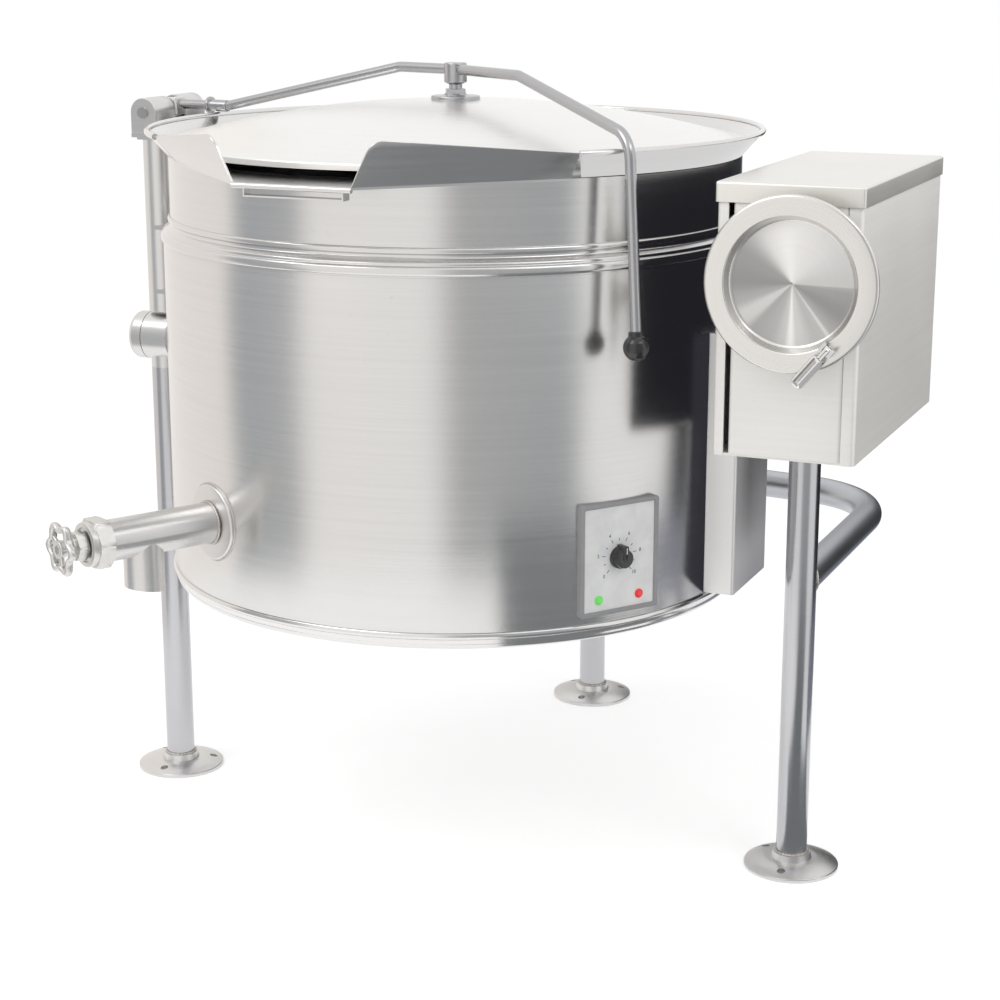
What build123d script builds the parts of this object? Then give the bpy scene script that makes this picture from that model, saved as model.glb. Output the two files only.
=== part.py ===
"""Tilting steam jacketed kettle on a three-leg tube frame.

Frame: millimetres, +Z up, origin on the floor under the vessel's vertical axis.
The vessel pours towards -Y, turns on trunnions along X and is cranked from the
console on the +X side through a worm drive. The cover lifts on a hinge at -X.
"""
import os
from math import acos, atan2, cos, degrees, hypot, pi, radians, sin, sqrt, tan

from build123d import *

# ---------------------------------------------------------------- driving sizes
# fits
running_gap = 0.05          # radial, shaft in its bore
seat_gap = 0.3              # between faces of pieces that move apart
side_gap = 1.0              # axial, beside a turning piece
wall_clear = 3.0            # radial, shaft through a sheet wall

# vessel
kettle_r = 400.0            # outer shell
shell_wall = 2.0
shell_bottom_z = 401.0
shell_height = 448.0
base_ring_h = 22.0
base_lip = 16.0             # inward lip that carries the bottom cover
base_wall = 3.0
base_bead_h = 8.0
base_bulge = 2.5
base_round = 9.0
bottom_sheet = 2.0
bead_band_h = 36.0          # beaded step between shell and neck
bead_bulge = 3.5
bead_land = 2.0
neck_step = 10.0            # how far the neck stands inside the shell
neck_wall = 3.0
neck_h = 80.0
liner_gap = 15.0            # neck's inner face to the liner
liner_wall = 3.0
liner_edge_z = 520.0        # where the cylindrical wall meets the dished bottom
liner_dish = 80.0
jacket_gap = 13.0           # liner to the jacket's inner face
jacket_wall = 3.0
jacket_top_z = 830.0
jacket_edge_z = 490.0
jacket_dish = 88.0

# rim and pouring lip
rim_flare = 28.0
rim_h = 32.0
rim_bar_r = 4.0
lip_half = 80.0
lip_out = 72.0              # lip edge outside the shell
lip_sheet = 3.0
lip_hem_r = 3.5
tip_rise = 56.0             # wing tips above the lip floor
tip_lean = 18.5             # wing tips outside their foot line
strainer_w = 134.0
strainer_drop = 14.0
strainer_depth = 16.0
strainer_sheet = 2.0

# trunnions and bearings
trunnion_z = 676.0
leg_od = 42.2
leg_wall = 2.6
left_leg_out = 75.0         # leg centres outside the shell
right_leg_out = 105.0
rear_leg_out = 153.0
housing_r = 35.0
housing_w = 42.0
leg_neck = 10.0             # pipe stub below the left bearing
bush_wall = 6.0
left_shaft_r = 19.0
pad_r = 60.0
pad_h = 6.0
cap_h = 22.0
cap_round = 8.0
right_shaft_r = 25.0
pillow_w = 40.0
pillow_y = 90.0
pillow_wall = 20.0

# frame
frame_z = 410.0
frame_bend_r = 150.0
frame_fall = 0.1395         # how far the rear run falls back per unit of width
foot_r = 65.0
foot_edge = 6.0
foot_round = 2.0
foot_crown = 0.65           # share of the dome's height reached half-way in
foot_dome_r = 36.0
foot_dome_h = 13.0
foot_collar_r = 28.0
foot_collar_h = 22.0
foot_hole_r = 5.5
foot_hole_pcd = 100.0
foot_holes = 3

# console
console_out = 42.0          # console outside the shell
console_w = 179.5
console_depth = 424.0
console_z = 625.0
console_h = 338.0
sheet = 3.0
cover_sheet = 2.4
cover_skirt = 25.0
column_w = 14.0
groove_w = 6.0
front_panel_w = 142.0
panel_return = 15.0

# worm drive and hand wheel
worm_module = 5.0
gear_teeth = 60
worm_pitch_r = 23.0
worm_turns = 4
worm_out = 147.0            # worm and hand wheel axis outside the shell
gear_w = 12.0
gear_hub_r = 40.0
gear_hub_w = 30.0
gear_tooth_share = 0.36     # tooth width over pitch; less than half leaves backlash
pressure_angle = 20.0
thread_ease = 2.2           # taken off each flank of the worm's thread
sector_from = -8.0
sector_to = 98.0
worm_shaft_r = 11.0
worm_bearing_y = (-110.0, 85.0)
worm_bearing_w = 20.0
worm_bearing_h = 44.0
wheel_r = 107.0
wheel_y = -258.0
wheel_sheet = 2.5
wheel_roll_r = 4.0
dish_r = 83.0
dish_depth = 12.0
wheel_hub_r = 20.0
wheel_hub_w = 18.0
grip_pivot_r = 88.0
grip_pivot_angle = -55.0    # in the wheel's plane, from +X
grip_angle = -129.5
grip_len = 60.0
grip_w = 17.0
grip_t = 12.0
grip_pin_r = 3.0
grip_round = 3.0
grip_setback = 1.0          # handle's near end from the ears
ear_w = 4.0
ear_len = 12.0

# cover, arm and hinge
lid_inset = 4.0             # cover's edge inside the shell's radius
lid_sheet = 2.0
lid_edge_h = 9.0
lid_rise = 50.0
hub_disc_r = 33.5
hub_disc_h = 5.0
hub_neck_r = 9.0
hub_flare = 8.0
sleeve_r = 15.5
sleeve_drop = 18.0          # sleeve's edge under the arm's centre line
sleeve_cap = 2.0
arm_r = 7.0
arm_bend_r = 38.0
arm_over_lid = 40.0
arm_over_rim = 13.0
arm_rise_in = 5.0           # inside the shell's radius
arm_crown_from = 97.0
arm_crown_to = 169.0
arm_angle = -37.0           # plan angle of the pull side
arm_drop_out = 32.0
arm_drop_over = 19.0        # over the rim
knob_out = 55.0
knob_drop = 201.0           # under the neck's top edge
knob_r = 17.0
knob_neck = 3.0             # knob's collar over the arm, radial and in height
hinge_out = 103.0
hinge_over = 4.0            # over the rim
hinge_y0 = 8.0
hinge_w = 140.0
hinge_r = 21.0
hinge_drop = 30.0
hinge_plate = 4.0
hinge_back = 2.5
hinge_pin_r = 5.0
pin_head = 3.0              # pin's heads, radial and in height
barrel_r = 18.0
boss_reach = 22.0
boss_w = 26.0
boss_wall = 3.0             # boss over the arm
socket_depth = 7.0
collar_r = 8.5
collar_len = 34.0
collar_lip = 4.0
collar_from = 61.0
post_foot_gap = 4.0
tie_sheet = 6.0
tie_over = 66.0             # lower tie plate over the trunnion axis
tie_under = 13.0            # upper tie plate under the shell's top

# draw-off valve
valve_angle = -119.2
valve_z = 505.0
valve_od = 54.0
valve_wall = 3.0
valve_reach = 157.0
valve_flange_r = 50.5
valve_flange_h = 5.0
outlet_back = 54.0          # outlet's axis behind the body's end
outlet_drop = 71.0
outlet_slant = 9.0
outlet_step = 1.0           # outlet pipe's radius under the body's
seat_r = 20.0
seat_back = 37.0            # seat behind the outlet's axis
seat_w = 4.0
plug_t = 8.0
plug_boss_h = 8.0
plug_boss_wall = 5.0
plug_web = 2.0              # left between the stem's end and the plug
bonnet_flats = 60.0
bonnet_h = 30.0
bonnet_collar_h = 9.0       # turned end of the nut
bonnet_collar_r = 29.0
bonnet_spigot = 6.0
packing_flats = 34.0
packing_h = 14.0
gland_h = 4.0
stem_r = 6.0
star_r = 35.5
star_h = 12.0
star_lobes = 6
star_ring = (0.80, 0.56)    # ring's radii, as shares of the wheel's
star_lobe = 0.24            # finger lobe's radius, likewise
star_spoke = 0.20           # spoke's width, likewise
star_hub_wall = 6.0
star_gap = 11.0             # packing nut to the hand wheel

# control panel
panel_angle = -35.1
panel_z = 485.0
panel_w = 119.0
panel_h = 147.0
bezel_w = 6.0
bezel_stand = 5.0
bezel_corner = 3.0
plate_t = 2.0
lamp_r = 6.0
lamp_x = 31.0
lamp_drop = 53.0
lens_h = 3.0
lens_round = 2.0
lens_step = 1.0             # lens over its stem
dial_r = 15.0
dial_h = 15.0
dial_shaft_r = 3.0
dial_taper = 6.0
dial_ridge = (7.5, 19.0)    # raised pointer across the dial
dial_ridge_h = 2.0

# cable raceway
race_out = 33.0
race_half_y = 75.0
race_rise = 1.0             # above the base ring
race_h = 350.0
race_sheet = 2.0

# ---------------------------------------------------------------- derived sizes
lip_reach = kettle_r + lip_out
left_leg_x = -(kettle_r + left_leg_out)
right_leg_x = kettle_r + right_leg_out
rear_leg_y = kettle_r + rear_leg_out
console_x = kettle_r + console_out
worm_x = kettle_r + worm_out
race_x = kettle_r + race_out
shell_top_z = shell_bottom_z + shell_height
neck_z = shell_top_z + bead_band_h
neck_top_z = neck_z + neck_h
neck_r = kettle_r - neck_step
neck_in = neck_r - neck_wall
liner_r = neck_in - liner_gap
rim_top_z = neck_top_z + rim_h
rim_r = neck_r + rim_flare
base_z = shell_bottom_z - base_ring_h
lid_r = kettle_r - lid_inset
rim_slope = rim_h / rim_flare
lid_foot_z = neck_top_z + (lid_r - neck_in) * rim_slope + seat_gap
lid_edge_z = lid_foot_z + lid_edge_h
lid_top_z = lid_edge_z + lid_rise
arm_crown_z = lid_top_z + arm_over_lid
arm_hinge_z = rim_top_z + arm_over_rim
arm_rise_x = arm_rise_in - kettle_r
post_top_z = neck_top_z
hinge_x = -(kettle_r + hinge_out)
hinge_z = rim_top_z + hinge_over
tie_z = (trunnion_z + tie_over, shell_top_z - tie_under)
race_z = shell_bottom_z + race_rise

lip_corner = hypot(lip_half, lip_reach)
lip_turn = degrees(atan2(lip_half, lip_reach) + acos(neck_r / lip_corner))

console_y = console_depth / 2
console_top_z = console_z + console_h
wall_top_z = console_top_z - cover_sheet
console_right = console_x + console_w
gear_pitch_r = worm_module * gear_teeth / 2
worm_z = trunnion_z + gear_pitch_r + worm_pitch_r
worm_lead = pi * worm_module
tooth_up = 0.8 * worm_module
tooth_down = 1.2 * worm_module

valve_r = valve_od / 2
valve_end_r = kettle_r + valve_reach
outlet_r = valve_end_r - outlet_back
seat_at = outlet_r - seat_back
valve_bore_r = valve_r - valve_wall
bonnet_end = valve_end_r + bonnet_h
packing_end = bonnet_end + packing_h
star_at = packing_end + star_gap
plug_at = seat_at + seat_w
hinge_y1 = hinge_y0 + hinge_w
hinge_mid_y = (hinge_y0 + hinge_y1) / 2
hinge_bottom_z = hinge_z - hinge_drop
cap_x = left_leg_x - housing_w / 2 - side_gap


# ---------------------------------------------------------------- helpers
def save(piece, label):
    """Labels a finished piece and writes it as one STEP file."""
    piece.part.label = label
    export_step(piece.part, f"parts/{label}.step")


def polar(radius, angle, z):
    """Point at a plan radius and plan angle."""
    return (radius * cos(radians(angle)), radius * sin(radians(angle)), z)


def radial_plane(angle, radius, z):
    """Plane that faces outwards from the vessel; local Y is up."""
    across = (-sin(radians(angle)), cos(radians(angle)), 0)
    return Plane(origin=polar(radius, angle, z), x_dir=across, z_dir=polar(1, angle, 0))


def front_plane(x, y, z):
    """Plane that faces the front (-Y); local Y is up."""
    return Plane(origin=(x, y, z), x_dir=(1, 0, 0), z_dir=(0, -1, 0))


def band(r_outer, wall, z_low, z_high):
    """Revolves a thin upright ring in the open part."""
    with BuildSketch(Plane.XZ) as profile:
        with Locations((r_outer - wall / 2, (z_low + z_high) / 2)):
            Rectangle(wall, z_high - z_low)
    revolve(profile.sketch, axis=Axis.Z)


def block(x_low, x_high, y_low, y_high, z_low, z_high, mode=Mode.ADD):
    """Box between two corners in the open part."""
    with BuildSketch(Plane.XY.offset(z_low)) as outline:
        with Locations(((x_low + x_high) / 2, (y_low + y_high) / 2)):
            Rectangle(x_high - x_low, y_high - y_low)
    extrude(outline.sketch, amount=z_high - z_low, mode=mode)


def column(x, y, radius, z_low, z_high, mode=Mode.ADD):
    """Upright cylinder between two heights in the open part."""
    with BuildSketch(Plane.XY.offset(z_low)) as outline:
        with Locations((x, y)):
            Circle(radius)
    extrude(outline.sketch, amount=z_high - z_low, mode=mode)


def bar_x(x_low, x_high, y, z, radius, mode=Mode.ADD):
    """Cylinder along X in the open part."""
    with BuildSketch(Plane.YZ.offset(x_low)) as outline:
        with Locations((y, z)):
            Circle(radius)
    extrude(outline.sketch, amount=x_high - x_low, mode=mode)


def bar_y(y_low, y_high, x, z, radius, mode=Mode.ADD):
    """Cylinder along Y in the open part."""
    with BuildSketch(front_plane(x, y_high, z)) as outline:
        Circle(radius)
    extrude(outline.sketch, amount=y_high - y_low, mode=mode)


def rounded_path(points, bend_r):
    """Straight runs joined by tangent arcs in the open line."""
    corners = [Vector(*p) for p in points]
    start = corners[0]
    for before, corner, after in zip(corners, corners[1:], corners[2:]):
        back = (before - corner).normalized()
        ahead = (after - corner).normalized()
        half = radians(back.get_angle(ahead)) / 2
        reach = bend_r / tan(half)
        middle = (back + ahead).normalized() * (bend_r / sin(half) - bend_r)
        Line(start, corner + back * reach)
        ThreePointArc(corner + back * reach, corner + middle, corner + ahead * reach)
        start = corner + ahead * reach
    Line(start, corners[-1])


def bent_bar(points, bend_r, radius, wall=0.0):
    """Round bar, or a tube where a wall is given, along a rounded path."""
    with BuildLine() as path:
        rounded_path(points, bend_r)
    with BuildSketch(Plane(origin=path.line @ 0, z_dir=path.line % 0)) as section:
        Circle(radius)
        if wall:
            Circle(radius - wall, mode=Mode.SUBTRACT)
    sweep(section.sketch, path=path.line)


def dish_centre(r_edge, depth, z_edge):
    """Radius and centre height of the sphere of a dished bottom."""
    sphere = (r_edge ** 2 + depth ** 2) / (2 * depth)
    return sphere, z_edge - depth + sphere


def dished_vessel(r_outer, wall, z_top, z_edge, depth):
    """Revolves an open vessel with a dished bottom in the open part."""
    sphere, centre_z = dish_centre(r_outer, depth, z_edge)
    inner = sphere - wall
    r_in = r_outer - wall
    half, half_in = r_outer / 2, r_in / 2
    edge_in_z = centre_z - sqrt(inner ** 2 - r_in ** 2)
    with BuildSketch(Plane.XZ) as profile:
        with BuildLine():
            Line((r_outer, z_top), (r_outer, z_edge))
            ThreePointArc((r_outer, z_edge), (half, centre_z - sqrt(sphere ** 2 - half ** 2)),
                          (0, centre_z - sphere))
            Line((0, centre_z - sphere), (0, centre_z - inner))
            ThreePointArc((0, centre_z - inner), (half_in, centre_z - sqrt(inner ** 2 - half_in ** 2)),
                          (r_in, edge_in_z))
            Line((r_in, edge_in_z), (r_in, z_top))
            Line((r_in, z_top), (r_outer, z_top))
        make_face()
    revolve(profile.sketch, axis=Axis.Z)


os.makedirs("parts", exist_ok=True)

# ---------------------------------------------------------------- frame
leg_r = leg_od / 2
feet = {
    "left": (left_leg_x, 0.0),
    "right": (right_leg_x, 0.0),
    "rear": (0.0, rear_leg_y),
}
leg_foot_z = foot_edge
leg_tops = {
    "left": trunnion_z - housing_r - leg_neck,
    "right": console_z,
    "rear": frame_z + leg_r,
}

for side, (foot_x, foot_y) in feet.items():
    with BuildPart() as leg:
        column(foot_x, foot_y, leg_r, leg_foot_z, leg_tops[side])
        column(foot_x, foot_y, leg_r - leg_wall, leg_foot_z, leg_tops[side] - leg_wall, Mode.SUBTRACT)
    save(leg, f"{side}_leg")

    with BuildPart() as foot:
        with BuildSketch(Plane(origin=(foot_x, foot_y, 0), x_dir=(1, 0, 0), z_dir=(0, -1, 0))):
            with BuildLine():
                Line((0, 0), (foot_r, 0))
                Line((foot_r, 0), (foot_r, foot_edge - foot_round))
                ThreePointArc((foot_r, foot_edge - foot_round),
                              (foot_r - 0.3 * foot_round, foot_edge - 0.3 * foot_round),
                              (foot_r - foot_round, foot_edge))
                ThreePointArc((foot_r - foot_round, foot_edge),
                              ((foot_r + foot_dome_r) / 2,
                               foot_edge + foot_crown * (foot_dome_h - foot_edge)),
                              (foot_dome_r, foot_dome_h))
                Line((foot_dome_r, foot_dome_h), (foot_collar_r, foot_dome_h))
                Line((foot_collar_r, foot_dome_h), (foot_collar_r - foot_round, foot_collar_h))
                Line((foot_collar_r - foot_round, foot_collar_h), (0, foot_collar_h))
                Line((0, foot_collar_h), (0, 0))
            make_face()
        revolve(axis=Axis((foot_x, foot_y, 0), (0, 0, 1)))
        column(foot_x, foot_y, leg_r, leg_foot_z, foot_collar_h, Mode.SUBTRACT)
        with BuildSketch(Plane.XY):
            with Locations((foot_x, foot_y)):
                with PolarLocations(foot_hole_pcd / 2, foot_holes, start_angle=-90):
                    Circle(foot_hole_r)
        extrude(amount=foot_collar_h, mode=Mode.SUBTRACT)
    save(foot, f"{side}_foot")

for side, leg_x in (("left", left_leg_x), ("right", right_leg_x)):
    corner_y = rear_leg_y - frame_fall * abs(leg_x)
    with BuildPart() as tube:
        bent_bar([(leg_x, 0, frame_z), (leg_x, corner_y, frame_z), (0, rear_leg_y, frame_z)],
                 frame_bend_r, leg_r, leg_wall)
        column(leg_x, 0, leg_r, frame_z - leg_od, frame_z + leg_od, Mode.SUBTRACT)
        column(0, rear_leg_y, leg_r, frame_z - leg_od, frame_z + leg_od, Mode.SUBTRACT)
        split(bisect_by=Plane.YZ, keep=Keep.TOP if leg_x > 0 else Keep.BOTTOM)
    save(tube, f"{side}_frame_tube")

bush_r = left_shaft_r + bush_wall
with BuildPart() as left_bearing_housing:
    bar_x(left_leg_x - housing_w / 2, left_leg_x + housing_w / 2, 0, trunnion_z, housing_r)
    column(left_leg_x, 0, leg_r, leg_tops["left"], trunnion_z)
    bar_x(left_leg_x - housing_w, left_leg_x + housing_w, 0, trunnion_z, bush_r, Mode.SUBTRACT)
save(left_bearing_housing, "left_bearing_housing")

with BuildPart() as left_trunnion_bush:
    bar_x(left_leg_x - housing_w / 2, left_leg_x + housing_w / 2, 0, trunnion_z, bush_r)
    bar_x(left_leg_x - housing_w, left_leg_x + housing_w, 0, trunnion_z,
          left_shaft_r + running_gap, Mode.SUBTRACT)
save(left_trunnion_bush, "left_trunnion_bush")

# ---------------------------------------------------------------- console
with BuildPart() as console_chassis:
    block(console_x, console_right - sheet - seat_gap, -console_y, console_y, console_z, console_z + sheet)
    block(console_x, console_x + sheet, -console_y, console_y, console_z, wall_top_z)
    block(console_x, console_right - sheet - seat_gap, console_y - sheet, console_y, console_z, wall_top_z)
    block(console_x, console_x + column_w, -console_y, -console_y + sheet, console_z, wall_top_z)
    bar_x(console_x - sheet, console_x + 2 * sheet, 0, trunnion_z, right_shaft_r + wall_clear, Mode.SUBTRACT)
save(console_chassis, "console_chassis")

panel_x0 = console_x + column_w + groove_w
panel_x1 = panel_x0 + front_panel_w
with BuildPart() as console_front_panel:
    block(panel_x0, panel_x1, -console_y, -console_y + sheet, console_z + sheet, wall_top_z)
    for edge_x in (panel_x0, panel_x1 - sheet):
        block(edge_x, edge_x + sheet, -console_y, -console_y + panel_return, console_z + sheet, wall_top_z)
    bar_y(-console_y - sheet, -console_y + 2 * sheet, worm_x, worm_z, worm_shaft_r + wall_clear, Mode.SUBTRACT)
save(console_front_panel, "console_front_panel")

with BuildPart() as console_side_panel:
    block(console_right - sheet, console_right, -console_y, console_y, console_z, wall_top_z)
    block(panel_x1 + seat_gap, console_right, -console_y, -console_y + sheet, console_z + sheet, wall_top_z)
save(console_side_panel, "console_side_panel")

skirt_in = seat_gap
skirt_out = seat_gap + cover_sheet
with BuildPart() as console_top_cover:
    block(console_x - skirt_out, console_right + skirt_out, -console_y - skirt_out, console_y + skirt_out,
          console_top_z - cover_skirt, console_top_z)
    block(console_x - skirt_in, console_right + skirt_in, -console_y - skirt_in, console_y + skirt_in,
          console_top_z - cover_skirt, wall_top_z, Mode.SUBTRACT)
    fillet(console_top_cover.edges().filter_by(Axis.Z).group_by(SortBy.LENGTH)[-1], radius=cover_sheet)
save(console_top_cover, "console_top_cover")

with BuildPart() as right_bearing_block:
    block(right_leg_x - pillow_w / 2, right_leg_x + pillow_w / 2, -pillow_y / 2, pillow_y / 2,
          console_z + sheet, trunnion_z)
    bar_x(right_leg_x - pillow_w / 2, right_leg_x + pillow_w / 2, 0, trunnion_z,
          right_shaft_r + pillow_wall)
    bar_x(right_leg_x - pillow_w, right_leg_x + pillow_w, 0, trunnion_z,
          right_shaft_r + running_gap, Mode.SUBTRACT)
save(right_bearing_block, "right_bearing_block")

for place, bearing_y in zip(("front", "rear"), worm_bearing_y):
    y_low = bearing_y - worm_bearing_w / 2
    y_high = bearing_y + worm_bearing_w / 2
    with BuildPart() as worm_bearing:
        block(console_x + sheet, worm_x, y_low, y_high,
              worm_z - worm_bearing_h / 2, worm_z + worm_bearing_h / 2)
        bar_y(y_low, y_high, worm_x, worm_z, worm_bearing_h / 2)
        bar_y(y_low - 1, y_high + 1, worm_x, worm_z, worm_shaft_r + running_gap, Mode.SUBTRACT)
    save(worm_bearing, f"worm_bearing_{place}")

# ---------------------------------------------------------------- vessel
valve_hole_r = valve_r + seat_gap
with BuildPart() as outer_shell:
    band(kettle_r, shell_wall, shell_bottom_z, shell_top_z)
    with BuildSketch(radial_plane(valve_angle, kettle_r / 2, valve_z)):
        Circle(valve_hole_r)
    extrude(amount=kettle_r, mode=Mode.SUBTRACT)
save(outer_shell, "outer_shell")

bead_low = bead_band_h / 3
bead_high = bead_band_h / 4
bead_z = shell_top_z + bead_land
with BuildPart() as neck_band:
    with BuildSketch(Plane.XZ):
        with BuildLine():
            Line((kettle_r, shell_top_z), (kettle_r, bead_z))
            ThreePointArc((kettle_r, bead_z), (kettle_r + bead_bulge, bead_z + bead_low / 2),
                          (kettle_r, bead_z + bead_low))
            Line((kettle_r, bead_z + bead_low), (neck_r, neck_z - bead_high))
            ThreePointArc((neck_r, neck_z - bead_high), (neck_r + bead_bulge, neck_z - bead_high / 2),
                          (neck_r, neck_z))
            Line((neck_r, neck_z), (neck_r, neck_top_z))
            Line((neck_r, neck_top_z), (neck_in, neck_top_z))
            Line((neck_in, neck_top_z), (neck_in, neck_z - bead_high))
            Line((neck_in, neck_z - bead_high), (kettle_r - neck_wall, shell_top_z + bead_low))
            Line((kettle_r - neck_wall, shell_top_z + bead_low), (kettle_r - neck_wall, shell_top_z))
            Line((kettle_r - neck_wall, shell_top_z), (kettle_r, shell_top_z))
        make_face()
    revolve(axis=Axis.Z)
save(neck_band, "neck_band")

with BuildPart() as kettle_liner:
    dished_vessel(liner_r, liner_wall, neck_top_z, liner_edge_z, liner_dish)
    band(neck_in, neck_in - liner_r + liner_wall, neck_top_z - liner_wall, neck_top_z)
    with BuildSketch(radial_plane(valve_angle, liner_r / 2, valve_z)):
        Circle(valve_bore_r)
    extrude(amount=liner_r, mode=Mode.SUBTRACT)
save(kettle_liner, "kettle_liner")

jacket_r = liner_r + jacket_gap + jacket_wall
with BuildPart() as steam_jacket:
    dished_vessel(jacket_r, jacket_wall, jacket_top_z, jacket_edge_z, jacket_dish)
    band(jacket_r, jacket_r - liner_r, jacket_top_z - jacket_wall, jacket_top_z)
    with BuildSketch(radial_plane(valve_angle, liner_r / 2, valve_z)):
        Circle(valve_hole_r)
    extrude(amount=kettle_r, mode=Mode.SUBTRACT)
save(steam_jacket, "steam_jacket")

with BuildPart() as base_ring:
    with BuildSketch(Plane.XZ):
        with BuildLine():
            Line((kettle_r - base_wall, shell_bottom_z), (kettle_r, shell_bottom_z))
            ThreePointArc((kettle_r, shell_bottom_z),
                          (kettle_r + base_bulge, shell_bottom_z - base_bead_h / 2),
                          (kettle_r, shell_bottom_z - base_bead_h))
            Line((kettle_r, shell_bottom_z - base_bead_h), (kettle_r - base_wall / 2, base_z + base_round))
            ThreePointArc((kettle_r - base_wall / 2, base_z + base_round),
                          (kettle_r - base_round / 3, base_z + base_round / 3),
                          (kettle_r - base_round, base_z))
            Line((kettle_r - base_round, base_z), (kettle_r - base_wall - base_lip, base_z))
            Line((kettle_r - base_wall - base_lip, base_z),
                 (kettle_r - base_wall - base_lip, base_z + base_wall))
            Line((kettle_r - base_wall - base_lip, base_z + base_wall),
                 (kettle_r - base_wall - base_round, base_z + base_wall))
            Line((kettle_r - base_wall - base_round, base_z + base_wall),
                 (kettle_r - 2 * base_wall, base_z + base_round + base_wall))
            Line((kettle_r - 2 * base_wall, base_z + base_round + base_wall),
                 (kettle_r - base_wall, shell_bottom_z))
        make_face()
    revolve(axis=Axis.Z)
save(base_ring, "base_ring")

with BuildPart() as bottom_cover:
    column(0, 0, kettle_r - base_wall - base_round, base_z + base_wall, base_z + base_wall + bottom_sheet)
save(bottom_cover, "bottom_cover")

# ---------------------------------------------------------------- rim and pouring lip
with BuildPart() as pouring_rim:
    with BuildSketch(Plane.XZ):
        Polygon((neck_in, neck_top_z), (neck_r, neck_top_z), (rim_r, rim_top_z),
                (rim_r - neck_wall, rim_top_z), align=None)
        with Locations((rim_r - neck_wall / 2, rim_top_z)):
            Circle(rim_bar_r)
    revolve(axis=Axis.Z)
    wedge_x = kettle_r * 2 * sin(radians(lip_turn))
    wedge_y = -kettle_r * 2 * cos(radians(lip_turn))
    with BuildSketch(Plane.XY.offset(neck_top_z - rim_h)):
        Polygon((0, 0), (-wedge_x, wedge_y), (-wedge_x, -2 * kettle_r), (wedge_x, -2 * kettle_r),
                (wedge_x, wedge_y), align=None)
    extrude(amount=3 * rim_h, mode=Mode.SUBTRACT)
save(pouring_rim, "pouring_rim")

lip_tail = Vector(neck_r * sin(radians(lip_turn)), -neck_r * cos(radians(lip_turn)), neck_top_z)
lip_front = Vector(lip_half, -lip_reach, neck_top_z)
along = (lip_tail - lip_front).normalized()
outward = Vector(along.Y, -along.X, 0)
wing_len = (lip_tail - lip_front).length
overrun = tip_lean + lip_sheet


def wing_section(share):
    """Wing cross-section, from the lip's corner (0) to its tail on the neck (1)."""
    height = tip_rise + (rim_h - tip_rise) * share
    lean = tip_lean + (rim_flare - tip_lean) * share
    place = Plane(origin=lip_front + along * (wing_len * share), x_dir=outward, z_dir=-along)
    with BuildSketch(place) as section:
        Polygon((-lip_sheet, 0), (0, 0), (lean, height), (lean - lip_sheet, height), align=None)
    return section.sketch


with BuildPart() as pouring_lip:
    loft([wing_section(-overrun / wing_len), wing_section(1.0)], ruled=True)
    block(-kettle_r, kettle_r, -lip_reach - 4 * overrun, -lip_reach,
          neck_top_z - rim_h, neck_top_z + 2 * tip_rise, Mode.SUBTRACT)
    mirror(about=Plane.YZ)
    with BuildSketch(Plane.XY.offset(neck_top_z - lip_sheet)):
        Polygon((-lip_half, -lip_reach), (lip_half, -lip_reach), (lip_tail.X, lip_tail.Y),
                (-lip_tail.X, lip_tail.Y), align=None)
        Circle(neck_r, mode=Mode.SUBTRACT)
    extrude(amount=lip_sheet)
    bar_x(-lip_half, lip_half, -lip_reach, neck_top_z - lip_hem_r, lip_hem_r)
save(pouring_lip, "pouring_lip")

strap_y = -lip_reach + lip_hem_r
strap_top = neck_top_z - lip_sheet
with BuildPart() as strainer_bracket:
    block(-strainer_w / 2, strainer_w / 2, strap_y, strap_y + strainer_depth,
          strap_top - strainer_drop, strap_top)
    block(-strainer_w / 2 + strainer_sheet, strainer_w / 2 - strainer_sheet,
          strap_y - 1, strap_y + strainer_depth + 1,
          strap_top - strainer_drop + strainer_sheet, strap_top + 1, Mode.SUBTRACT)
    bar_x(-strainer_w, strainer_w, -lip_reach, neck_top_z - lip_hem_r, lip_hem_r, Mode.SUBTRACT)
save(strainer_bracket, "strainer_bracket")

# ---------------------------------------------------------------- trunnions
with BuildPart() as left_trunnion:
    bar_x(-kettle_r - pad_h, -kettle_r / 2, 0, trunnion_z, pad_r)
    column(0, 0, kettle_r, trunnion_z - 2 * pad_r, trunnion_z + 2 * pad_r, Mode.SUBTRACT)
    bar_x(cap_x, -kettle_r - pad_h, 0, trunnion_z, left_shaft_r)
save(left_trunnion, "left_trunnion")

with BuildPart() as trunnion_cap:
    bar_x(cap_x - cap_h, cap_x, 0, trunnion_z, housing_r)
    fillet(trunnion_cap.edges().group_by(Axis.X)[0], radius=cap_round)
save(trunnion_cap, "trunnion_cap")

gear_x0 = worm_x - gear_w / 2
hub_x0 = worm_x - gear_hub_w / 2
with BuildPart() as right_trunnion:
    bar_x(kettle_r / 2, kettle_r + pad_h, 0, trunnion_z, pad_r)
    column(0, 0, kettle_r, trunnion_z - 2 * pad_r, trunnion_z + 2 * pad_r, Mode.SUBTRACT)
    bar_x(kettle_r + pad_h, hub_x0 + gear_hub_w, 0, trunnion_z, right_shaft_r)
save(right_trunnion, "right_trunnion")


def tooth_points(angle):
    """Corners of one gear tooth, as (y, z) offsets from the trunnion axis."""
    pitch = worm_lead
    half = gear_tooth_share * pitch / 2
    flank = tan(radians(pressure_angle))
    shape = [(half + tooth_down * flank, -tooth_down - 1), (half - tooth_up * flank, tooth_up),
             (-half + tooth_up * flank, tooth_up), (-half - tooth_down * flank, -tooth_down - 1)]
    turn = radians(angle)
    return [(side * cos(turn) + (gear_pitch_r + up) * sin(turn),
             (gear_pitch_r + up) * cos(turn) - side * sin(turn)) for side, up in shape]


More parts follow.
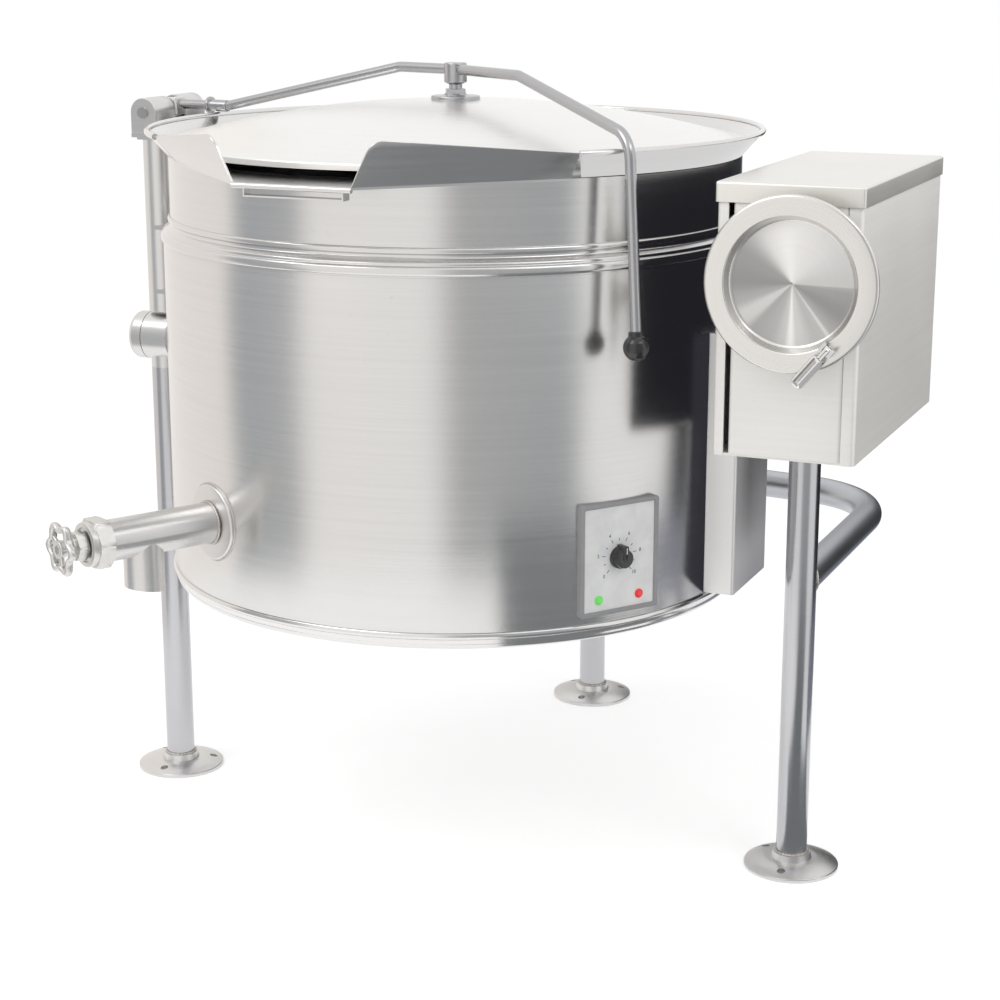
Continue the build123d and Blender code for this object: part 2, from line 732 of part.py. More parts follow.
tooth_step = 360.0 / gear_teeth
root_r = gear_pitch_r - tooth_down
with BuildPart() as worm_sector:
    with BuildSketch(Plane(origin=(gear_x0, 0, trunnion_z), x_dir=(0, 1, 0), z_dir=(1, 0, 0))):
        with BuildLine():
            low = radians(90 - sector_from)
            high = radians(90 - sector_to)
            mid = (low + high) / 2
            Line((0, 0), (root_r * cos(low), root_r * sin(low)))
            ThreePointArc((root_r * cos(low), root_r * sin(low)), (root_r * cos(mid), root_r * sin(mid)),
                          (root_r * cos(high), root_r * sin(high)))
            Line((root_r * cos(high), root_r * sin(high)), (0, 0))
        make_face()
        Circle(gear_hub_r)
        for tooth in range(int(sector_from // tooth_step) + 1, int(sector_to // tooth_step) + 1):
            Polygon(*tooth_points(tooth * tooth_step), align=None)
    extrude(amount=gear_w)
    bar_x(hub_x0, hub_x0 + gear_hub_w, 0, trunnion_z, gear_hub_r)
    bar_x(hub_x0 - 1, hub_x0 + gear_hub_w + 1, 0, trunnion_z, right_shaft_r, Mode.SUBTRACT)
save(worm_sector, "worm_sector")

# ---------------------------------------------------------------- worm, hand wheel and crank grip
thread_half = worm_lead * (1 - gear_tooth_share) / 2 - thread_ease
thread_flank = tan(radians(pressure_angle))
worm_root_r = worm_pitch_r - tooth_down
worm_len = worm_turns * worm_lead
shaft_front_y = wheel_y + dish_depth + wheel_sheet
with BuildPart() as worm_shaft:
    bar_y(shaft_front_y, worm_bearing_y[1] + worm_bearing_w, worm_x, worm_z, worm_shaft_r)
    bar_y(-worm_len / 2 - worm_lead / 3, worm_len / 2 + worm_lead / 3, worm_x, worm_z, worm_root_r)
    with BuildLine() as thread_line:
        Helix(pitch=worm_lead, height=worm_len, radius=worm_pitch_r,
              center=(worm_x, -worm_len / 2, worm_z), direction=(0, 1, 0))
    start = thread_line.line @ 0
    out = (Vector(start.X, 0, start.Z) - Vector(worm_x, 0, worm_z)).normalized()
    with BuildSketch(Plane(origin=start, x_dir=out, z_dir=thread_line.line % 0)):
        Polygon((-tooth_down - 1, -thread_half - tooth_down * thread_flank),
                (tooth_up, -thread_half + tooth_up * thread_flank),
                (tooth_up, thread_half - tooth_up * thread_flank),
                (-tooth_down - 1, thread_half + tooth_down * thread_flank), align=None)
    sweep(path=thread_line.line, is_frenet=True)
save(worm_shaft, "worm_shaft")

dish_y = wheel_y + dish_depth
with BuildPart() as hand_wheel:
    with BuildSketch(Plane.XY.offset(worm_z)):
        with Locations((worm_x, 0)):
            Polygon((0, dish_y), (dish_r - dish_depth / 2, dish_y), (dish_r, wheel_y),
                    (wheel_r - wheel_roll_r, wheel_y), (wheel_r - wheel_roll_r, wheel_y + wheel_sheet),
                    (dish_r + wheel_sheet / 2, wheel_y + wheel_sheet),
                    (dish_r - dish_depth / 2 + wheel_sheet / 2, dish_y + wheel_sheet),
                    (0, dish_y + wheel_sheet), align=None)
            with Locations((wheel_r - wheel_roll_r, wheel_y + wheel_roll_r)):
                Circle(wheel_roll_r)
            with Locations((wheel_hub_r / 2, dish_y + wheel_sheet + wheel_hub_w / 2)):
                Rectangle(wheel_hub_r, wheel_hub_w)
    revolve(axis=Axis((worm_x, 0, worm_z), (0, 1, 0)))
    bar_y(dish_y + wheel_sheet, console_y, worm_x, worm_z, worm_shaft_r, Mode.SUBTRACT)
save(hand_wheel, "hand_wheel")


pivot_x = worm_x + grip_pivot_r * cos(radians(grip_pivot_angle))
pivot_z = worm_z + grip_pivot_r * sin(radians(grip_pivot_angle))
grip_pivot = Vector(pivot_x, wheel_y - seat_gap - grip_t / 2, pivot_z)
grip_along = Vector(cos(radians(grip_angle)), 0, sin(radians(grip_angle)))
grip_across = Vector(-grip_along.Z, 0, grip_along.X)
tang_w = grip_w - 2 * ear_w
grip_mid = (grip_len + ear_len) / 2 + grip_setback


def grip_plane(offset_y):
    """Plane over the folded grip, facing the front; local X runs along the grip."""
    return Plane(origin=(pivot_x, offset_y, pivot_z), x_dir=grip_along, z_dir=(0, -1, 0))


with BuildPart() as crank_bracket:
    with BuildSketch(grip_plane(wheel_y)):
        for side in (-1, 1):
            with Locations((0, side * (grip_w / 2 - ear_w / 2))):
                Rectangle(ear_len, ear_w)
    extrude(amount=grip_t)
    pin_end = grip_across * (grip_w / 2)
    with BuildSketch(Plane(origin=grip_pivot - pin_end, z_dir=grip_across)):
        Circle(grip_pin_r)
    extrude(amount=grip_w)
save(crank_bracket, "crank_bracket")

with BuildPart() as crank_grip:
    with BuildSketch(grip_plane(wheel_y - seat_gap)):
        with Locations((grip_mid, 0)):
            RectangleRounded(grip_len - ear_len, grip_w, grip_round)
        with Locations((ear_len / 2 + grip_setback, 0)):
            Rectangle(ear_len + 2 * grip_setback, tang_w - 2 * seat_gap)
    extrude(amount=grip_t)
    with BuildSketch(Plane(origin=grip_pivot - grip_across * (tang_w / 2 - seat_gap), z_dir=grip_across)):
        Circle(grip_t / 2)
    extrude(amount=tang_w - 2 * seat_gap)
    with BuildSketch(grip_plane(wheel_y - seat_gap - grip_t)):
        with Locations((grip_mid, 0)):
            SlotOverall(grip_len - 2.2 * ear_len, grip_w / 3)
    extrude(amount=-grip_t / 3, mode=Mode.SUBTRACT)
    with BuildSketch(Plane(origin=grip_pivot - grip_across * grip_w, z_dir=grip_across)):
        Circle(grip_pin_r + running_gap)
    extrude(amount=2 * grip_w, mode=Mode.SUBTRACT)
save(crank_grip, "crank_grip")

# ---------------------------------------------------------------- cover
lid_sphere, _ = dish_centre(lid_r, lid_rise, lid_edge_z)
lid_ball_z = lid_top_z - lid_sphere
with BuildPart() as lid_dome:
    with BuildSketch(Plane.XZ):
        with BuildLine():
            lid_in_r = lid_r - lid_sheet
            lid_in = lid_sphere - lid_sheet
            Line((lid_r, lid_foot_z), (lid_r, lid_edge_z))
            ThreePointArc((lid_r, lid_edge_z),
                          (lid_r / 2, lid_ball_z + sqrt(lid_sphere ** 2 - lid_r ** 2 / 4)), (0, lid_top_z))
            Line((0, lid_top_z), (0, lid_top_z - lid_sheet))
            ThreePointArc((0, lid_top_z - lid_sheet),
                          (lid_in_r / 2, lid_ball_z + sqrt(lid_in ** 2 - lid_in_r ** 2 / 4)),
                          (lid_in_r, lid_ball_z + sqrt(lid_in ** 2 - lid_in_r ** 2)))
            Line((lid_in_r, lid_ball_z + sqrt(lid_in ** 2 - lid_in_r ** 2)), (lid_in_r, lid_foot_z))
            Line((lid_in_r, lid_foot_z), (lid_r, lid_foot_z))
        make_face()
    revolve(axis=Axis.Z)
save(lid_dome, "lid_dome")

boss_x = hinge_x + boss_reach
arm_points = [
    (boss_x - socket_depth, hinge_mid_y, arm_hinge_z),
    (arm_rise_x, hinge_mid_y * 0.84, arm_hinge_z),
    (-arm_crown_from, hinge_mid_y * 0.36, arm_crown_z),
    (0, 0, arm_crown_z),
    polar(arm_crown_to, arm_angle, arm_crown_z),
    polar(kettle_r + arm_drop_out, arm_angle, rim_top_z + arm_drop_over),
    polar(kettle_r + knob_out, arm_angle, neck_top_z - knob_drop),
]
with BuildPart() as lid_arm:
    bent_bar(arm_points, arm_bend_r, arm_r)
save(lid_arm, "lid_arm")

hub_face_z = lid_top_z + hub_disc_h
sleeve_z = arm_crown_z - sleeve_drop
with BuildPart() as lid_hub:
    with BuildSketch(Plane.XZ):
        with BuildLine():
            hub_foot_z = lid_ball_z + sqrt(lid_sphere ** 2 - hub_disc_r ** 2)
            ThreePointArc((0, lid_top_z),
                          (hub_disc_r / 2, lid_ball_z + sqrt(lid_sphere ** 2 - hub_disc_r ** 2 / 4)),
                          (hub_disc_r, hub_foot_z))
            Line((hub_disc_r, hub_foot_z), (hub_disc_r, hub_face_z))
            Line((hub_disc_r, hub_face_z), (hub_neck_r + hub_flare, hub_face_z))
            ThreePointArc((hub_neck_r + hub_flare, hub_face_z),
                          (hub_neck_r + hub_flare * 0.29, hub_face_z + hub_flare * 0.29),
                          (hub_neck_r, hub_face_z + hub_flare))
            Line((hub_neck_r, hub_face_z + hub_flare), (hub_neck_r, sleeve_z - sleeve_cap))
            Line((hub_neck_r, sleeve_z - sleeve_cap), (sleeve_r, sleeve_z))
            Line((sleeve_r, sleeve_z), (sleeve_r, arm_crown_z + arm_r))
            Line((sleeve_r, arm_crown_z + arm_r), (sleeve_r - sleeve_cap, arm_crown_z + arm_r + sleeve_cap))
            Line((sleeve_r - sleeve_cap, arm_crown_z + arm_r + sleeve_cap),
                 (0, arm_crown_z + arm_r + sleeve_cap))
            Line((0, arm_crown_z + arm_r + sleeve_cap), (0, lid_top_z))
        make_face()
    revolve(axis=Axis.Z)
    add(lid_arm.part, mode=Mode.SUBTRACT)
save(lid_hub, "lid_hub")

with BuildPart() as ball_knob:
    knob_at = Vector(*arm_points[-1])
    with Locations(knob_at):
        Sphere(knob_r)
    with BuildSketch(Plane(origin=knob_at, z_dir=(0, 0, 1))):
        Circle(arm_r + knob_neck)
    extrude(amount=knob_r + knob_neck)
    add(lid_arm.part, mode=Mode.SUBTRACT)
save(ball_knob, "ball_knob")

# ---------------------------------------------------------------- cover hinge
with BuildPart() as hinge_barrel:
    y_low = hinge_y0 + hinge_plate + seat_gap
    y_high = hinge_y1 - hinge_plate - seat_gap
    bar_y(y_low, y_high, hinge_x, hinge_z, barrel_r)
    block(hinge_x, boss_x, hinge_mid_y - boss_w / 2, hinge_mid_y + boss_w / 2,
          hinge_z - boss_w / 4, arm_hinge_z + arm_r + boss_wall)
    bar_y(y_low - 1, y_high + 1, hinge_x, hinge_z, hinge_pin_r + running_gap, Mode.SUBTRACT)
    add(lid_arm.part, mode=Mode.SUBTRACT)
save(hinge_barrel, "hinge_barrel")

arm_start = Vector(*arm_points[0])
arm_run = (Vector(*arm_points[1]) - arm_start).normalized()
with BuildPart() as arm_collar:
    with BuildSketch(Plane(origin=arm_start + arm_run * collar_from, z_dir=arm_run)):
        Circle(collar_r)
        Circle(arm_r, mode=Mode.SUBTRACT)
    extrude(amount=collar_len)
    with BuildSketch(Plane(origin=arm_start + arm_run * collar_from, z_dir=arm_run)):
        Circle(collar_r + collar_lip)
        Circle(arm_r, mode=Mode.SUBTRACT)
    extrude(amount=collar_lip)
save(arm_collar, "arm_collar")

with BuildPart() as hinge_pin:
    bar_y(hinge_y0, hinge_y1, hinge_x, hinge_z, hinge_pin_r)
    bar_y(hinge_y0 - pin_head, hinge_y0, hinge_x, hinge_z, hinge_pin_r + pin_head)
    bar_y(hinge_y1, hinge_y1 + pin_head, hinge_x, hinge_z, hinge_pin_r + pin_head)
save(hinge_pin, "hinge_pin")

with BuildPart() as hinge_housing:
    for plate_y in (hinge_y0 + hinge_plate, hinge_y1):
        with BuildSketch(front_plane(hinge_x, plate_y, hinge_z)):
            Circle(hinge_r)
            with Locations((0, -hinge_drop / 2)):
                Rectangle(2 * hinge_r, hinge_drop)
        extrude(amount=hinge_plate)
    block(hinge_x - hinge_r, hinge_x - hinge_r + hinge_back, hinge_y0, hinge_y1,
          hinge_bottom_z, hinge_z - hinge_r / 3)
    block(hinge_x - hinge_r, hinge_x + hinge_r, hinge_y0, hinge_y1,
          hinge_bottom_z, hinge_bottom_z + hinge_back)
    block(hinge_x + hinge_r - hinge_back, hinge_x + hinge_r, hinge_y0, hinge_y1,
          hinge_bottom_z, hinge_bottom_z + hinge_drop / 3)
    bar_y(hinge_y0 - 1, hinge_y1 + 1, hinge_x, hinge_z, hinge_pin_r, Mode.SUBTRACT)
save(hinge_housing, "hinge_housing")

post_foot_z = trunnion_z + housing_r + post_foot_gap
with BuildPart() as hinge_post:
    column(left_leg_x, 0, leg_r, post_foot_z, post_top_z)
    column(left_leg_x, 0, leg_r - leg_wall, post_foot_z + leg_wall, post_top_z + 1, Mode.SUBTRACT)
    for plate_z in tie_z:
        with BuildSketch(Plane.XY.offset(plate_z)):
            with Locations((left_leg_x / 2, 0)):
                Rectangle(-left_leg_x, leg_od)
            Circle(kettle_r, mode=Mode.SUBTRACT)
            with Locations((left_leg_x, 0)):
                Circle(leg_r - leg_wall, mode=Mode.SUBTRACT)
            split(bisect_by=Plane.YZ, keep=Keep.BOTTOM)
        extrude(amount=tie_sheet)
save(hinge_post, "hinge_post")

with BuildPart() as hinge_carrier:
    with BuildSketch(Plane.XY.offset(post_top_z)):
        Polygon((left_leg_x + leg_r, -leg_r), (left_leg_x + leg_r, leg_r), (hinge_x + hinge_r, hinge_y1),
                (hinge_x - hinge_r, hinge_y1), (hinge_x - hinge_r, hinge_y0), (left_leg_x - leg_r, hinge_y0),
                (left_leg_x - leg_r, -leg_r), align=None)
    extrude(amount=hinge_bottom_z - post_top_z)
save(hinge_carrier, "hinge_carrier")

# ---------------------------------------------------------------- draw-off valve
valve_out = Vector(*polar(1, valve_angle, 0))


def valve_bar(radius, r_from, r_to, mode=Mode.ADD):
    """Cylinder on the valve's axis between two distances from the vessel's axis."""
    with BuildSketch(radial_plane(valve_angle, r_from, valve_z)) as outline:
        Circle(radius)
    extrude(outline.sketch, amount=r_to - r_from, mode=mode)


def valve_hex(flats, r_from, r_to):
    """Hexagon on the valve's axis between two distances from the vessel's axis."""
    with BuildSketch(radial_plane(valve_angle, r_from, valve_z)) as outline:
        RegularPolygon(flats / 2, 6, major_radius=False, rotation=30)
    extrude(outline.sketch, amount=r_to - r_from)


outlet_at = polar(outlet_r, valve_angle, valve_z)
outlet_plane = Plane(origin=outlet_at, x_dir=valve_out, z_dir=(0, 0, -1))
with BuildPart() as drawoff_body:
    valve_bar(valve_r, liner_r - valve_od / 2, valve_end_r)
    with BuildSketch(outlet_plane):
        Circle(valve_r - outlet_step)
    extrude(amount=outlet_drop + valve_od)
    valve_bar(valve_bore_r, liner_r - valve_od, valve_end_r + 1, Mode.SUBTRACT)
    with BuildSketch(outlet_plane):
        Circle(valve_bore_r - outlet_step)
    extrude(amount=outlet_drop + 2 * valve_od, mode=Mode.SUBTRACT)
    column(0, 0, liner_r, valve_z - valve_od, valve_z + valve_od, Mode.SUBTRACT)
    mouth = Vector(*outlet_at) - Vector(0, 0, outlet_drop)
    mouth_down = valve_out * sin(radians(outlet_slant)) - Vector(0, 0, cos(radians(outlet_slant)))
    split(bisect_by=Plane(origin=mouth, z_dir=mouth_down), keep=Keep.BOTTOM)
    with BuildSketch(radial_plane(valve_angle, seat_at, valve_z)):
        Circle(valve_bore_r)
        Circle(seat_r, mode=Mode.SUBTRACT)
    extrude(amount=seat_w)
save(drawoff_body, "drawoff_body")

with BuildPart() as drawoff_flange:
    valve_bar(valve_flange_r, kettle_r / 2, kettle_r + valve_flange_h)
    column(0, 0, kettle_r, valve_z - valve_od * 2, valve_z + valve_od * 2, Mode.SUBTRACT)
    valve_bar(valve_r, kettle_r / 2, kettle_r + valve_od, Mode.SUBTRACT)
save(drawoff_flange, "drawoff_flange")

with BuildPart() as bonnet_nut:
    valve_hex(bonnet_flats, valve_end_r, bonnet_end - bonnet_collar_h)
    valve_bar(bonnet_collar_r, bonnet_end - bonnet_collar_h, bonnet_end)
    valve_bar(valve_bore_r - seat_gap, valve_end_r - bonnet_spigot, valve_end_r)
    valve_bar(stem_r + running_gap, valve_end_r - 2 * bonnet_spigot, bonnet_end + 1, Mode.SUBTRACT)
save(bonnet_nut, "bonnet_nut")

with BuildPart() as packing_nut:
    valve_hex(packing_flats, bonnet_end, packing_end)
    valve_bar(packing_flats / 3, packing_end, packing_end + gland_h)
    valve_bar(stem_r + running_gap, bonnet_end - 1, packing_end + gland_h + 1, Mode.SUBTRACT)
save(packing_nut, "packing_nut")

plug_end = plug_at + seat_gap + plug_t
with BuildPart() as valve_plug:
    valve_bar(valve_bore_r - 1, plug_at + seat_gap, plug_end)
    valve_bar(stem_r + plug_boss_wall, plug_end, plug_end + plug_boss_h)
    valve_bar(stem_r + running_gap, plug_end + plug_web, plug_end + plug_boss_h + 1, Mode.SUBTRACT)
save(valve_plug, "valve_plug")

with BuildPart() as valve_stem:
    valve_bar(stem_r, plug_end + plug_web + seat_gap, star_at + star_h)
save(valve_stem, "valve_stem")

with BuildPart() as valve_star_wheel:
    with BuildSketch(radial_plane(valve_angle, star_at, valve_z)):
        Circle(star_r * star_ring[0])
        Circle(star_r * star_ring[1], mode=Mode.SUBTRACT)
        with PolarLocations(star_r * (1 - star_lobe), star_lobes):
            Circle(star_r * star_lobe)
        with PolarLocations(0, star_lobes // 2, start_angle=180 / star_lobes):
            Rectangle(star_r * sum(star_ring) * 1.03, star_r * star_spoke)
        Circle(stem_r + star_hub_wall)
        Circle(stem_r, mode=Mode.SUBTRACT)
    extrude(amount=star_h)
save(valve_star_wheel, "valve_star_wheel")

# ---------------------------------------------------------------- control panel
with BuildPart() as control_bezel:
    with BuildSketch(radial_plane(panel_angle, kettle_r - panel_w / 4, panel_z)):
        RectangleRounded(panel_w, panel_h, bezel_corner)
        Rectangle(panel_w - 2 * bezel_w, panel_h - 2 * bezel_w, mode=Mode.SUBTRACT)
    extrude(amount=panel_w / 4 + bezel_stand)
    column(0, 0, kettle_r, panel_z - panel_h, panel_z + panel_h, Mode.SUBTRACT)
save(control_bezel, "control_bezel")

plate_r = kettle_r + seat_gap
lamps = {"green": -lamp_x, "red": lamp_x}
with BuildPart() as control_plate:
    with BuildSketch(radial_plane(panel_angle, plate_r, panel_z)):
        Rectangle(panel_w - 2 * bezel_w, panel_h - 2 * bezel_w)
        Circle(dial_shaft_r + running_gap, mode=Mode.SUBTRACT)
        for lamp_side in lamps.values():
            with Locations((lamp_side, -lamp_drop)):
                Circle(lamp_r - lens_step, mode=Mode.SUBTRACT)
    extrude(amount=plate_t)
save(control_plate, "control_plate")

plate_face_r = plate_r + plate_t
for colour, lamp_side in lamps.items():
    with BuildPart() as lamp:
        with BuildSketch(radial_plane(panel_angle, plate_face_r, panel_z)):
            with Locations((lamp_side, -lamp_drop)):
                Circle(lamp_r)
        extrude(amount=lens_h)
        lens_edge = lamp.edges().sort_by_distance(Vector(*polar(3 * kettle_r, panel_angle, panel_z)))[0]
        fillet(lens_edge, radius=lens_round)
        with BuildSketch(radial_plane(panel_angle, plate_r, panel_z)):
            with Locations((lamp_side, -lamp_drop)):
                Circle(lamp_r - lens_step)
        extrude(amount=plate_t)
    save(lamp, f"{colour}_lamp")

with BuildPart() as thermostat_knob:
    with BuildSketch(radial_plane(panel_angle, plate_face_r + seat_gap, panel_z)):
        Circle(dial_r)
    extrude(amount=dial_h, taper=dial_taper)
    with BuildSketch(radial_plane(panel_angle, plate_face_r + seat_gap, panel_z)):
        with Locations((0, dial_r / 2)):
            RectangleRounded(*dial_ridge, dial_ridge_h)
    extrude(amount=dial_h + dial_ridge_h)
    with BuildSketch(radial_plane(panel_angle, plate_r, panel_z)):
        Circle(dial_shaft_r)
    extrude(amount=plate_t + 2 * seat_gap)
save(thermostat_knob, "thermostat_knob")

# ---------------------------------------------------------------- cable raceway
with BuildPart() as raceway_box:
    block(kettle_r / 2, race_x, -race_half_y, race_half_y, race_z, race_z + race_h)
    block(0, race_x - race_sheet, -race_half_y + race_sheet, race_half_y - race_sheet,
          race_z + race_sheet, race_z + race_h - race_sheet, Mode.SUBTRACT)
    column(0, 0, kettle_r, race_z - race_h, race_z + 2 * race_h, Mode.SUBTRACT)
    bar_x(kettle_r / 2, race_x + 1, 0, trunnion_z, right_shaft_r, Mode.SUBTRACT)
save(raceway_box, "raceway_box")
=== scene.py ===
"""Steam jacketed kettle: smooth pieces, finishes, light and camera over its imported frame. Metres, Z up."""
import logging
import math
from dataclasses import dataclass
from enum import Enum
from functools import cache
from typing import NamedTuple

import bmesh
import bpy
import numpy as np
from bpy.types import ID, Material, Mesh, Node, NodeSocket, NodeTree, Object, Scene
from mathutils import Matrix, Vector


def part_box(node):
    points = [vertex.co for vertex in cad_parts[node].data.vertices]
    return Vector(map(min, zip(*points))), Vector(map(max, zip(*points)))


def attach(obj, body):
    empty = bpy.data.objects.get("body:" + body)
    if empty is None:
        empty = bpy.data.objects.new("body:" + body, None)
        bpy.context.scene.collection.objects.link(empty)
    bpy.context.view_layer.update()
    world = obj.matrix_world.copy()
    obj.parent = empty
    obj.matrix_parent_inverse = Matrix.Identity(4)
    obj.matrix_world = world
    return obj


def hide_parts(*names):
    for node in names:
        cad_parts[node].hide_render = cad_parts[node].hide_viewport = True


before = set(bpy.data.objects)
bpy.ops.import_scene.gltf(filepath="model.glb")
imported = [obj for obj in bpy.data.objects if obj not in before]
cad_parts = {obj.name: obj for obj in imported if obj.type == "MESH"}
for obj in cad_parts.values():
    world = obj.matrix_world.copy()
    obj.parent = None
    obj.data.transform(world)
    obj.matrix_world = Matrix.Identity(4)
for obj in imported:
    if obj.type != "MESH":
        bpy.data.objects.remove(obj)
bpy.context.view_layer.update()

LOG = logging.getLogger("kettle")
Array = np.ndarray
Triple = tuple[float, float, float]
TAU = 2.0 * math.pi
QUARTER = math.pi / 2
CREASE = math.radians(33.0)
ROLLED_CREASE = math.radians(50.0)
SHELL_R = 0.400
TURNED_MAP = "turned"


# ------------------------------------------------------------------ seats, lines and surfaces
@dataclass(frozen=True)
class Seat:
    """A place for local points: origin, local X across, local Y up and local Z outwards."""

    origin: Triple = (0.0, 0.0, 0.0)
    across: Triple = (1.0, 0.0, 0.0)
    up: Triple = (0.0, 1.0, 0.0)
    out: Triple = (0.0, 0.0, 1.0)

    def axes(self) -> Array:
        """The three axes, one row each."""
        return np.array([self.across, self.up, self.out], float)

    def place(self, points: Array) -> Array:
        """Origin plus the local coordinates times the three axes."""
        return np.asarray(points, float) @ self.axes() + np.array(self.origin, float)

    def moved(self, x: float, y: float, z: float = 0.0) -> "Seat":
        """The same axes with the origin moved by local x, y and z."""
        return Seat(tuple(self.place(np.array([x, y, z]))), self.across, self.up, self.out)


AXIS = Seat()


def facing_front(x: float, y: float, z: float) -> Seat:
    """Seat that faces the front, with local Y up."""
    return Seat((x, y, z), up=(0.0, 0.0, 1.0), out=(0.0, -1.0, 0.0))


def radial(angle: float, reach: float, z: float) -> Seat:
    """Seat on a radius of the vessel at a plan angle in degrees, facing outwards, with local Y up."""
    c, s = math.cos(math.radians(angle)), math.sin(math.radians(angle))
    return Seat((reach * c, reach * s, z), (-s, c, 0.0), (0.0, 0.0, 1.0), (c, s, 0.0))


class Point(NamedTuple):
    """A place in the frame."""

    x: float
    y: float
    z: float


def box(part: str) -> tuple[Point, Point, Point]:
    """Low corner, high corner and middle of a frame node's box."""
    low, high = (Point(*corner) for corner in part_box(part))
    return low, high, Point(*((a + b) / 2 for a, b in zip(low, high)))


def unit(vectors: Array) -> Array:
    """Vectors divided by their lengths."""
    return vectors / np.linalg.norm(vectors, axis=-1, keepdims=True)


def rounded(points: list[tuple[float, ...]], radius: float | list[float], closed: bool = False,
            steps: int = 7) -> Array:
    """Corner points with each corner replaced by a tangent arc.

    At a corner with half angle h the arc of radius r starts r/tan(h) before it, and its centre
    lies r/sin(h) along the bisector; its points turn evenly from one tangent point to the other.

    Args:
        points: corners in two or three dimensions.
        radius: one radius, or one for each corner.
        closed: whether the last corner joins the first.
        steps: points on each arc.

    Returns:
        Points along the rounded line, one row each.
    """
    corners = np.array(points, float)
    count = len(corners)
    radii = [radius] * count if np.isscalar(radius) else radius
    t = np.linspace(0.0, 1.0, steps)[:, None]
    line = []
    for i, corner in enumerate(corners):
        back, ahead = unit(corners[i - 1] - corner), unit(corners[(i + 1) % count] - corner)
        full = math.acos(float(np.clip(back @ ahead, -1.0, 1.0)))
        if radii[i] <= 0.0 or full > math.pi - 1e-3 or (not closed and i in (0, count - 1)):
            line.append(corner[None, :])
            continue
        reach, turn = radii[i] / math.tan(full / 2), math.pi - full
        centre = corner + unit(back + ahead) * radii[i] / math.sin(full / 2)
        first, last = corner + back * reach - centre, corner + ahead * reach - centre
        line.append(centre + (np.sin((1 - t) * turn) * first + np.sin(t * turn) * last) / math.sin(turn))
    return np.concatenate(line)


def circle(radius: float, steps: int = 24) -> Array:
    """Closed ring of points: radius times cosine and sine of evenly spaced angles."""
    turn = np.arange(steps) * TAU / steps
    return np.stack([radius * np.cos(turn), radius * np.sin(turn)], axis=-1)


def hexagon(corner: float) -> Array:
    """Closed six-sided outline with three points on each side, from its corner radius."""
    ends = circle(corner, 6)
    share = np.arange(3)[None, :, None] / 3
    return (ends[:, None] * (1 - share) + np.roll(ends, -1, axis=0)[:, None] * share).reshape(-1, 2)


def rounded_box(width: float, height: float, corner: float, steps: int = 7) -> Array:
    """Closed rectangle outline about the origin with rounded corners."""
    w, h = width / 2, height / 2
    return rounded([(-w, -h), (w, -h), (w, h), (-w, h)], corner, closed=True, steps=steps)


def arc(radius: float, first: float, last: float, steps: int, squash: float = 1.0) -> Array:
    """Open arc: radius times (cosine, squash*sine) of angles from the first to the last."""
    turn = np.linspace(first, last, steps)
    return radius * np.column_stack([np.cos(turn), squash * np.sin(turn)])


def around(turn: Array, reach: Array | float, height: Array | float) -> Array:
    """Points at plan angles from -Y towards +X, at their reach from the vessel's axis and height."""
    x, y = reach * np.sin(turn), -reach * np.cos(turn)
    return np.stack([x, y, height + 0.0 * x], axis=-1)


def swing(profile: Array, seat: Seat, steps: int, start: float = 0.0, turn: float = TAU) -> Array:
    """Surface of revolution: each (radius, height) turns about the seat's outward axis.

    Args:
        profile: rows of radius and height.
        seat: whose outward axis is the axis.
        steps: stations round the axis.
        start: first angle in radians, from local X.
        turn: swept angle; a full turn leaves the last station off so that the grid wraps.

    Returns:
        Grid of points, profile by station.
    """
    angle = start + np.linspace(0.0, turn, steps, endpoint=turn != TAU)
    r, h = profile[:, 0][:, None], profile[:, 1][:, None]
    return seat.place(np.stack([r * np.cos(angle), r * np.sin(angle), h + 0.0 * angle], axis=-1))


def carry(path: Array, section: Array, side: Triple) -> Array:
    """Section carried square along a path: path point plus section x sideways and y upwards.

    Sideways is the given vector less its part along the path's direction, and upwards is the
    cross product of the path's direction with it.

    Args:
        path: points of the centre line.
        section: outline in the plane across the path.
        side: vector that is never parallel to the path.

    Returns:
        Grid of points, path by section.
    """
    ahead = unit(np.gradient(path, axis=0))
    across = unit(np.array(side) - (ahead @ np.array(side))[:, None] * ahead)
    above = np.cross(ahead, across)
    return path[:, None] + section[None, :, :1] * across[:, None] + section[None, :, 1:] * above[:, None]


def stacked(outlines: list[Array], heights: list[float], seat: Seat) -> Array:
    """Grid of outlines with equal numbers of points, each at its own local height."""
    rows = [np.column_stack([line, np.full(len(line), h)]) for line, h in zip(outlines, heights)]
    return seat.place(np.stack(rows))


def shares_stacked(outline: Array, shares: list[float], heights: list[float], seat: Seat) -> Array:
    """Stack of one outline, drawn in towards its origin by a share at each height."""
    return stacked([outline * share for share in shares], heights, seat)


def tapered(size: tuple[float, float], corner: float, least: float, insets: list[float],
            heights: list[float], seat: Seat) -> Array:
    """Stack of rounded rectangles, each smaller all round by its own inset.

    Args:
        size: full width and height of the rectangle.
        corner: corner radius at no inset; it shrinks by the inset.
        least: smallest corner radius.
        insets: one inset for each level.
        heights: one height for each level.
        seat: place of the stack.

    Returns:
        Grid of points, level by outline.
    """
    outlines = [rounded_box(size[0] - 2 * i, size[1] - 2 * i, max(corner - i, least)) for i in insets]
    return stacked(outlines, heights, seat)


